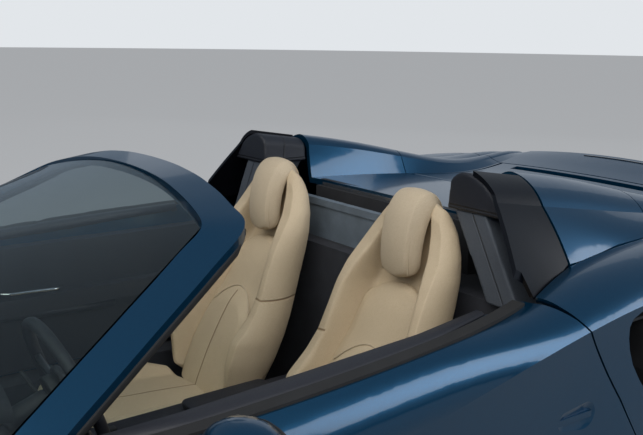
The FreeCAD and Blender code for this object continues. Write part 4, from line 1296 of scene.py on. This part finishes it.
def wiper_blade(word, start, end):
    rings = []
    for t in spaced(9):
        x, y = start.lerp(end, t)
        x += BLADE_BOW * math.sin(math.pi * t)
        z = glass_height(x, y)
        rings.append([(x + across, y, z + up) for across, up in BLADE_OUTLINE])
    strip("wiper_blade_" + word, rings, rubber)


def wiper_arm(word, spindle, middle):
    rings = []
    for t in spaced(6):
        x, y, z = spindle.lerp(middle, t)
        z += 0.012 * math.sin(math.pi * t)
        wide = 0.010 - 0.006 * t
        rings.append([(x + a * wide, y + a * wide, z + b * 0.004)
                      for a, b in ((-1, -1), (-1, 1), (1, 1), (1, -1))])
    strip("wiper_arm_" + word, rings, soft_black, bevel=0.001)
    make_piece("wiper_knob_" + word, placed(spun(KNOB, 20, "z"), spindle), soft_black)


for word, start, end, spindle in (("left", (0.905, 0.07), (0.700, 0.560), (0.990, 0.285)),
                                  ("right", (0.780, -0.480), (0.935, -0.030), (1.012, -0.150))):
    start, end = Vector(start), Vector(end)
    wiper_blade(word, start, end)
    x, y = (start + end) / 2 + Vector((BLADE_BOW, 0))
    wiper_arm(word, Vector((*spindle, COWL_Z)), Vector((x, y, glass_height(x, y) + 0.018)))
say_made("wipers")

# %% [markdown]
# ## Tail
# Round tail lamps are turned parts: a red lens with raised rings, a pale centre for the reversing lamp and a
# dark bezel. Between them is a blank number plate with its four bolts, and below it are exhaust tips with
# rolled ends.

# %% Tail lamps
TAIL = -2.2835
LENS = [(0.0635, -0.034), (0.0635, -0.004), (0.0600, -0.0010), (0.0520, -0.0004), (0.0500, -0.0055),
        (0.0465, -0.0055), (0.0445, -0.0008), (0.0330, -0.0006), (0.0310, -0.0060), (0.0265, -0.0060),
        (0.0250, -0.0030)]
CENTRE = [(0.0255, -0.006), (0.0240, -0.0018), (0.0120, -0.0004), (0.0, 0.0)]
BEZEL = [(0.0638, -0.006), (0.0640, -0.0006), (0.0665, 0.0003), (0.0700, 0.0002), (0.0715, -0.0012),
         (0.0700, -0.004)]


def facing_back(outline, place, steps=48):
    bm = spun(outline, steps, "x")
    bmesh.ops.scale(bm, vec=(-1, 1, 1), verts=bm.verts)
    return placed(bm, place)


def tail_pair(name, outline, y, z, material):
    """The same turned part on both sides of the tail."""
    parts = [facing_back(outline, (TAIL, side * y, z)) for side, _ in SIDES]
    return make_piece(name, joined(parts), material)


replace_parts(tail_pair("tail_lenses", LENS, 0.64, 0.800, red_lens), "tail_lamps")
tail_pair("tail_centres", CENTRE, 0.64, 0.800, pearl)
tail_pair("tail_bezels", BEZEL, 0.64, 0.800, gloss_black)

# %% Number plate
PLATE_Z = 0.535
PLATE_BOLT = [(0.0, 0.0022), (0.0035, 0.0018), (0.0048, 0.0)]
frame_bars = ([slab((0.0025, 0.512, 0.004), (-2.2742, 0, PLATE_Z + s * 0.057), 0.0008) for s in (1, -1)]
              + [slab((0.0025, 0.004, 0.118), (-2.2742, s * 0.255, PLATE_Z), 0.0008) for s in (1, -1)])
plate_bolts = [facing_back(PLATE_BOLT, (-2.2755, y, PLATE_Z + z), 16) for y in (-0.20, 0.20)
               for z in (-0.030, 0.030)]
plate = slab((0.002, 0.500, 0.108), (-2.2745, 0, PLATE_Z), 0.0006, corner=0.008)
make_piece("rear_plate", plate, plate_white)
make_piece("rear_plate_frame", joined(frame_bars), black_plastic)
make_piece("rear_plate_bolts", joined(plate_bolts), bright_steel)

# %% Exhaust tips and the high brake lamp
TIP = [(0.0425, -0.060), (0.0425, -0.006), (0.0435, -0.0005), (0.0470, 0.0002), (0.0500, -0.0015),
       (0.0505, -0.006), (0.0500, -0.030)]
TIP_RING = [(0.0555, -0.02), (0.0555, -0.0008), (0.0580, 0.0002), (0.0610, 0.0), (0.0620, -0.0015)]
LAMP_X = -2.262
LAMP_OUTLINE = ((-0.008, -0.004), (-0.008, 0.0015), (0.008, 0.0015), (0.008, -0.004))


def high_brake_lamp():
    rings = []
    for t in spaced(13):
        y = 0.16 * (2 * t - 1)
        z = drop("rear_bumper", (LAMP_X, y, 1.3), DOWN).z + 0.0004
        rings.append([(LAMP_X + across, y, z + up) for across, up in LAMP_OUTLINE])
    strip("high_brake_lamp", rings, gloss_black, bevel=0.0008)


tail_pair("exhaust_tips", TIP, 0.33, 0.392, bright_steel)
tail_pair("exhaust_rings", TIP_RING, 0.33, 0.392, gloss_black)
high_brake_lamp()
say_made("tail")

# %% [markdown]
# ## Under the louvres
# The louvres and the rear vent of the engine lid show a dark mesh just below them. It rides on the lid.

# %% Vent meshes
for name, rear, front, half in (("louvre_mesh", -1.860, -1.560, 0.275),
                                ("rear_vent_mesh", -2.046, -1.980, 0.365)):
    bm = slab((front - rear, 2 * half, 0.003), ((rear + front) / 2, 0, 0.9035), 0.001)
    make_piece(name, bm, vent_mesh, "engine_lid")
say_made("vent meshes")

# %% [markdown]
# ## Seams on the body
# The fuel flap is a fine groove round an oval. Its points are dropped onto the panel and a thin dark cord
# lies in it, painted shade for the gap round the flap. The sills get a black skirt with a rounded lower edge.

# %% Fuel flap and skirts
def fuel_flap():
    points = []
    for c, s in circle(36):
        hit = drop("rear_quarter_right", (-1.330 + 0.078 * c, -0.835 + 0.060 * s, 1.4), DOWN)
        points.append((hit.x, hit.y, hit.z - 0.0002))
    # The dark cord is painted shade: it stands where the gap round the flap shows only shade.
    swept_cord("fuel_flap_gap_shade", points, 0.0011, gap_shade, closed=True)


def skirt(side, word):
    rings = []
    for t in spaced(12):
        x = 0.560 - 1.600 * t
        high, low = [drop("sills", (x, side * 1.2, z), (0, -side, 0)) for z in (0.205, 0.150)]
        if high and low:
            ring = [(high, 0.0005, 0.205), (high, 0.004, 0.200), (low, 0.006, 0.146), (low, -0.004, 0.134),
                    (low, -0.012, 0.150), (high, -0.004, 0.200)]
            rings.append([(x, hit.y + side * out, z) for hit, out, z in ring])
    strip("skirt_" + word, rings, black_plastic)


fuel_flap()
for side, word in SIDES:
    skirt(side, word)
say_made("seams")

# %% [markdown]
# ## Steering wheel
# The real wheel is a padded ring on a cast frame with three spokes and a soft centre pad. It is modelled in
# its own flat frame (X to the right, Y up, Z toward the driver) and then tilted onto the column's end.

# %% Rim and spokes
def facing_driver(sine, cosine):
    """The turn that brings a part's Z toward the driver and tips it up, by an angle's sine and cosine."""
    return Matrix(((0, -1, 0), (sine, 0, cosine), (-cosine, 0, sine))).transposed().to_4x4()


WHEEL_PLACE = Matrix.Translation(Vector((0.3462, SEAT_Y, 0.7201))) @ facing_driver(0.34202, 0.93969)
THUMB = 0.62  # angle of the thumbs over the level, in radians


def on_wheel(name, bm, material, body="steering_wheel"):
    bmesh.ops.transform(bm, matrix=WHEEL_PLACE, verts=bm.verts)
    return make_piece(name, bm, material, body)


def grip_rings(count=96):
    """Rings round the rim: thicker at the thumbs, flatter at the foot."""
    rings = []
    for i in range(count):
        a = 2 * math.pi * i / count
        thumbs = sum(soft_step(0.82, 0.99, math.cos(away)) for away in (a - THUMB, math.pi - THUMB - a))
        middle = 0.168 - 0.007 * soft_step(0.86, 1.0, -math.sin(a))
        thick = 0.0130 + 0.0022 * thumbs
        rings.append([((middle + thick * c) * math.cos(a), (middle + thick * c) * math.sin(a),
                       0.040 + 0.0145 * s) for c, s in circle(16)])
    return rings


def spoke(degrees, width):
    """A flat bar from the centre pad out into the rim, a little narrower in its middle."""
    rings = []
    for t in spaced(9):
        half = width * (1.0 - 0.28 * math.sin(math.pi * t)) / 2
        rings.append([(0.045 + 0.113 * t, share * half, 0.030 + 0.008 * t + up)
                      for share, up in ((-1, 0), (-0.8, 0.008), (0.8, 0.008), (1, 0), (0.8, -0.006),
                                        (-0.8, -0.006))])
    return turned(bridged(rings), degrees, "Z")


rim = on_wheel("wheel_rim", bridged(grip_rings(), closed=True), dark_leather)
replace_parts(rim, "steering_wheel")
on_wheel("wheel_spokes", joined([spoke(8, 0.040), spoke(172, 0.040), spoke(270, 0.052)]), dark_alloy)

# %% Hub, centre pad, buttons and stalks
HUB = [(0.0, 0.0006), (0.050, 0.0006), (0.052, 0.004), (0.046, 0.030), (0.0, 0.032)]
CENTRE_PAD = [(0.0, 0.0555), (0.030, 0.0545), (0.048, 0.0505), (0.0575, 0.0440), (0.0590, 0.0370),
              (0.0560, 0.0300), (0.0, 0.0300)]
PAD_RING = [(0.0235, 0.0545), (0.0245, 0.0562), (0.0265, 0.0562), (0.0275, 0.0540)]
STALK = [(0.0, 0.098), (0.004, 0.097), (0.0055, 0.092), (0.0045, 0.030), (0.0035, 0.0)]
# Columns: x, y, radius
BUTTONS = [(-0.078, 0.010, 0.0075), (0.078, 0.010, 0.0075), (0.0, -0.085, 0.010), (-0.098, 0.014, 0.005),
           (0.098, 0.014, 0.005)]


def button(x, y, r):
    return placed(spun([(0.0, 0.006), (r * 0.8, 0.0056), (r, 0.004), (r, -0.004)], 24, "z"), (x, y, 0.0425))


stalks = [placed(turned(spun(STALK, 16), -72 * side, "Z"), (side * 0.022, 0.006, -0.016))
          for side, _ in SIDES]
on_wheel("wheel_hub", spun(HUB, 40, "z"), black_plastic)
on_wheel("wheel_pad", spun(CENTRE_PAD, 48, "z"), dark_leather)
on_wheel("wheel_pad_ring", spun(PAD_RING, 40, "z"), bright_steel)
on_wheel("wheel_buttons", joined([button(*row) for row in BUTTONS]), gloss_black)
on_wheel("column_stalks", joined(stalks), black_plastic, "body")
say_made("steering wheel")

# %% [markdown]
# ## Dashboard
# The dashboard is a soft moulding covered with leather, so its solid is softened. A hood, three dials, round
# air vents, a small screen and a row of switches are fitted to it, each pressed a little into its surface.

# %% Dashboard
dash = softened("dash_padding", "dashboard", dark_leather, 0.008, 4)
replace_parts(dash, "dashboard")
DASH_LEAN = facing_driver(0.26, 0.9656)


def on_dash(bm, y, z):
    """Turns a part that faces +Z to face the driver and sets it on the dashboard at the given height."""
    face = drop("dashboard", (0.2, y, z), (1, 0, 0))
    bmesh.ops.transform(bm, matrix=Matrix.Translation(face) @ DASH_LEAN, verts=bm.verts)
    return bm


# %% [markdown]
# Each dial is a face, a ring round it, eleven marks and a hand. They are made flat, and one matrix per dial
# tilts and places them.

# %% Dials
# Columns: y, radius
DIALS = ((0.36, 0.060), (0.262, 0.040), (0.458, 0.040))
FIRST_MARK, MARK_STEP, HAND_AT = 225, 27, 200


def dial_face(r):
    return spun([(0.0, 0.0), (r * 0.93, 0.0), (r * 0.93, -0.004), (0.0, -0.004)], 40, "z")


def dial_ring(r):
    return spun([(r * 0.90, 0.0), (r * 0.93, 0.006), (r, 0.0065), (r * 1.02, 0.0), (r * 1.02, -0.012),
                 (r * 0.90, -0.012)], 40, "z")


def dial_marks(r):
    size, centre = (r * 0.14, 0.0016, 0.0008), (r * 0.80, 0, 0.0003)
    return joined([turned(cuboid(size, centre), FIRST_MARK - MARK_STEP * k, "Z") for k in range(11)])


def dial_hand(r):
    outline = ((-1, 0.0022), (1, 0.0022), (1, 0.0032), (-1, 0.0032))
    ends = ((-0.1 * r, 0.0022), (0.78 * r, 0.0007))
    rings = [[(x, side * half, z) for side, z in outline] for x, half in ends]
    return turned(bridged(rings), HAND_AT, "Z")


def on_dials(name, make, material):
    parts = []
    for y, r in DIALS:
        bm = make(r)
        place = Matrix.Translation(Vector((0.500, y, 0.772))) @ DASH_LEAN
        bmesh.ops.transform(bm, matrix=place, verts=bm.verts)
        parts.append(bm)
    make_piece(name, joined(parts), material)


on_dials("dial_faces", dial_face, soft_black)
on_dials("dial_rings", dial_ring, bright_steel)
on_dials("dial_marks", dial_marks, plate_white)
on_dials("dial_hands", dial_hand, red_lens)

# %% Dial hood
def dial_hood(wall=0.007):
    half_circle = [math.pi * share for share in spaced(21)]
    rings = []
    for t in spaced(7):
        x, half, high, base = 0.474 + 0.140 * t, 0.164 - 0.010 * t, 0.060 - 0.018 * t * t, 0.760 + 0.026 * t
        arches = [[(x, SEAT_Y + (half - inset) * math.cos(a),
                    base + (high - inset) * max(math.sin(a), 0.0) ** 0.6)
                   for a in half_circle] for inset in (0.0, wall)]
        rings.append(arches[0] + arches[1][::-1])
    hood = make_piece("dial_hood", bridged(rings), dark_leather)
    add_modifier(hood, "BEVEL", width=0.002, segments=2, limit_method="ANGLE")


dial_hood()
say_made("dials")

# %% Air vents
VENT_Z, SLAT_PITCH = 0.690, 0.0105
VENT_RING = [(0.030, 0.000), (0.031, 0.008), (0.036, 0.010), (0.0405, 0.007), (0.042, -0.004),
             (0.034, -0.010), (0.030, -0.006)]
VENT_HUB = [(0.0, 0.009), (0.006, 0.008), (0.007, 0.0), (0.007, -0.004)]


def vent_slats():
    slats = []
    for across in [SLAT_PITCH * k for k in range(-2, 3)]:
        half = math.sqrt(0.0305 ** 2 - across ** 2)
        slats.append(cuboid((2 * half, 0.0022, 0.012), (0, across, 0.001)))
    return joined(slats)


def in_vents(name, make, material):
    make_piece(name, joined([on_dash(make(), y, VENT_Z) for y in (0.60, 0.125, -0.125, -0.60)]), material)


in_vents("vent_rings", lambda: spun(VENT_RING, 40, "z"), dark_alloy)
in_vents("vent_slats", vent_slats, black_plastic)
in_vents("vent_hubs", lambda: spun(VENT_HUB, 20, "z"), bright_steel)
say_made("air vents")

# %% Screen and switches
def lying_slab(width, height, depth, bevel, corner):
    """A slab that faces +Z, made by turning one that faces +X."""
    return turned(turned(slab((depth, width, height), (0, 0, 0), bevel, corner=corner), -90, "Y"), 90, "Z")


screen = on_dash(lying_slab(0.150, 0.062, 0.012, 0.001, 0.006), 0.0, 0.618)
switches = [on_dash(lying_slab(0.024, 0.014, 0.012, 0.0012, 0.002), 0.064 - 0.032 * k, 0.572)
            for k in range(5)]
make_piece("dash_screen", screen, gloss_black)
make_piece("dash_switches", joined(switches), black_plastic)
say_made("screen")

# %% [markdown]
# ## Console
# The console carries a short bridge with three push knobs, two window switches and a padded lid.

# %% Console
CONSOLE = drop("dashboard", (0.20, 0.0, 0.60), DOWN).z
BRIDGE_OUTLINE = [(-0.024, 0), (-0.020, 0.006), (0.020, 0.006), (0.024, 0), (0.020, -0.010), (-0.020, -0.010)]
CONSOLE_KNOB = [(0.0, 0.007), (0.010, 0.0066), (0.0125, 0.004), (0.0125, -0.006)]
bridge = [[(0.300 - 0.180 * t, y, CONSOLE + 0.004 + 0.030 * math.sin(math.pi * t) ** 0.5 + up)
           for y, up in BRIDGE_OUTLINE] for t in spaced(11)]
knobs = [placed(spun(CONSOLE_KNOB, 28, "z"), (0.262 - 0.052 * k, 0, CONSOLE + 0.0375 - 0.0035 * abs(k - 1)))
         for k in range(3)]
switches = [placed(lying_slab(0.040, 0.022, 0.012, 0.002, 0.004), (0.060, side * 0.020, CONSOLE + 0.003))
            for side, _ in SIDES]
make_piece("console_bridge", bridged(bridge), dark_alloy)
make_piece("console_knobs", joined(knobs), gloss_black)
make_piece("window_switches", joined(switches), black_plastic)
lid = placed(lying_slab(0.300, 0.112, 0.030, 0.010, 0.024), (-0.330, 0, CONSOLE + 0.008))
padded_piece("console_pad", lid, dark_leather, levels=2)
say_made("console")

# %% [markdown]
# ## Inside the doors
# Each door has a round speaker, a padded armrest, a pull handle and a small lever. The trim panel bulges, so
# the place of each is found by a line from the cabin outward.

# %% Inside the doors
SPEAKER_RING = [(0.066, 0.004), (0.070, -0.004), (0.079, -0.005), (0.084, 0.000), (0.084, 0.006)]
SPEAKER = [(0.0, -0.004), (0.040, -0.003), (0.067, 0.000), (0.067, 0.004)]
LEVER_OUTLINE = ((0.003, -1), (0.009, -0.8), (0.009, 0.8), (0.003, 1))


def on_trim(side, word, x, z):
    return drop("door_trim_" + word, (x, side * 0.40, z), (0, side, 0))


def speaker(side, word):
    centre = on_trim(side, word, 0.300, 0.400)
    ring, disc = placed(spun(SPEAKER_RING, 48), centre, side), placed(spun(SPEAKER), centre, side)
    make_piece("speaker_ring_" + word, ring, dark_alloy, "door_" + word)
    make_piece("speaker_" + word, disc, speaker_mesh, "door_" + word)


def door_rest(side, word):
    rings = []
    for t in spaced(13):
        x, z = 0.200 - 0.480 * t, 0.560 - 0.020 * t
        wall, out = on_trim(side, word, x, z).y, 0.016 + 0.034 * math.sin(math.pi * t) ** 0.7
        outline = [(0.010, 0.018), (-out * 0.8, 0.016), (-out, 0.004), (-out * 0.8, -0.014), (0.010, -0.030)]
        rings.append([(x, wall + side * across, z + up) for across, up in outline])
    padded_piece("door_rest_" + word, bridged(rings), dark_leather, "door_" + word, levels=2)


def door_pull(side, word):
    points = []
    for t in spaced(15):
        x, z = 0.150 - 0.230 * t, 0.640 - 0.010 * t
        out = 0.034 * min(1.0, 3.2 * math.sin(math.pi * t)) - 0.004
        points.append((x, on_trim(side, word, x, z).y - side * out, z))
    swept_cord("door_pull_" + word, points, 0.0065, bright_steel, "door_" + word)


def door_lever(side, word):
    rings = []
    for k in range(4):
        x, half = 0.330 - 0.022 * k, 0.011 - 0.0012 * k
        wall = on_trim(side, word, x, 0.628).y
        rings.append([(x, wall - side * out, 0.628 + up * half) for out, up in LEVER_OUTLINE])
    make_piece("door_lever_" + word, bridged(rings), bright_steel, "door_" + word)


for side, word in SIDES:
    speaker(side, word)
    door_rest(side, word)
    door_pull(side, word)
    door_lever(side, word)
say_made("doors")

# %% Pedals
# Points of a pedal's arm. Columns: x, z
PEDAL_ARM = ((0.804, 0.325), (0.812, 0.380), (0.815, 0.440), (0.812, 0.520))
# Columns: y, width
PEDALS = ((0.300, 0.055), (0.400, 0.085))
pedal_pads = [slab((0.012, width, 0.080), (0.800, y, 0.330), 0.003, corner=0.010) for y, width in PEDALS]
pedal_arms = [bridged([[(x, y + a * 0.008, z + b * 0.008) for a, b in CORNERS] for x, z in PEDAL_ARM])
              for y, _ in PEDALS]
make_piece("pedal_pads", joined(pedal_pads), silver_alloy)
make_piece("pedal_arms", joined(pedal_arms), dark_steel)
say_made("pedals")

# %% [markdown]
# ## Engine top
# Under the lid the plain engine block gets what is bolted on top of it: two ribbed rocker covers, a central
# air box, curved intake pipes between them and an oil cap. Their height is taken from the block by dropping
# a line onto it.

# %% Rocker covers
MIDDLE = -1.25
BLOCK = drop("engine", (MIDDLE, 0.0, 1.3), DOWN).z
SCREW = [(0.0, 0.006), (0.0055, 0.0055), (0.0065, -0.004)]


def rocker_cover(side):
    ribs = [slab((0.400, 0.006, 0.008), (MIDDLE, side * (0.141 + 0.012 * k), BLOCK + 0.050), 0.002)
            for k in range(5)]
    return [slab((0.440, 0.110, 0.055), (MIDDLE, side * 0.165, BLOCK + 0.020), 0.010, segments=3)] + ribs


screws = [placed(spun(SCREW, 6, "z"), (MIDDLE + x, side * y, BLOCK + 0.047)) for side, _ in SIDES
          for x in (-0.19, -0.065, 0.065, 0.19) for y in (0.121, 0.209)]
make_piece("rocker_covers", joined(rocker_cover(1) + rocker_cover(-1)), cover_red)
make_piece("cover_screws", joined(screws), bright_steel)
print("engine top", round(BLOCK, 3))

# %% Air box, intake pipes and oil cap
OIL_CAP = [(0.0, 0.018), (0.016, 0.017), (0.020, 0.013), (0.020, -0.004)]


def intake_pipe(k, side, word):
    x = MIDDLE - 0.15 + 0.10 * k
    points = [(x, side * (0.045 + 0.075 * t), BLOCK + 0.062 + 0.030 * math.sin(math.pi * t) - 0.055 * t * t)
              for t in spaced(11)]
    swept_cord(f"intake_pipe_{k}_{word}", points, 0.019, silver_alloy)


make_piece("air_box", slab((0.460, 0.120, 0.060), (MIDDLE, 0, BLOCK + 0.060), 0.022, segments=4), dark_alloy)
for k in range(4):
    for side, word in SIDES:
        intake_pipe(k, side, word)
oil_cap = placed(spun(OIL_CAP, 12, "z"), (MIDDLE + 0.16, 0.165, BLOCK + 0.052))
make_piece("oil_cap", oil_cap, black_plastic)
say_made("engine")
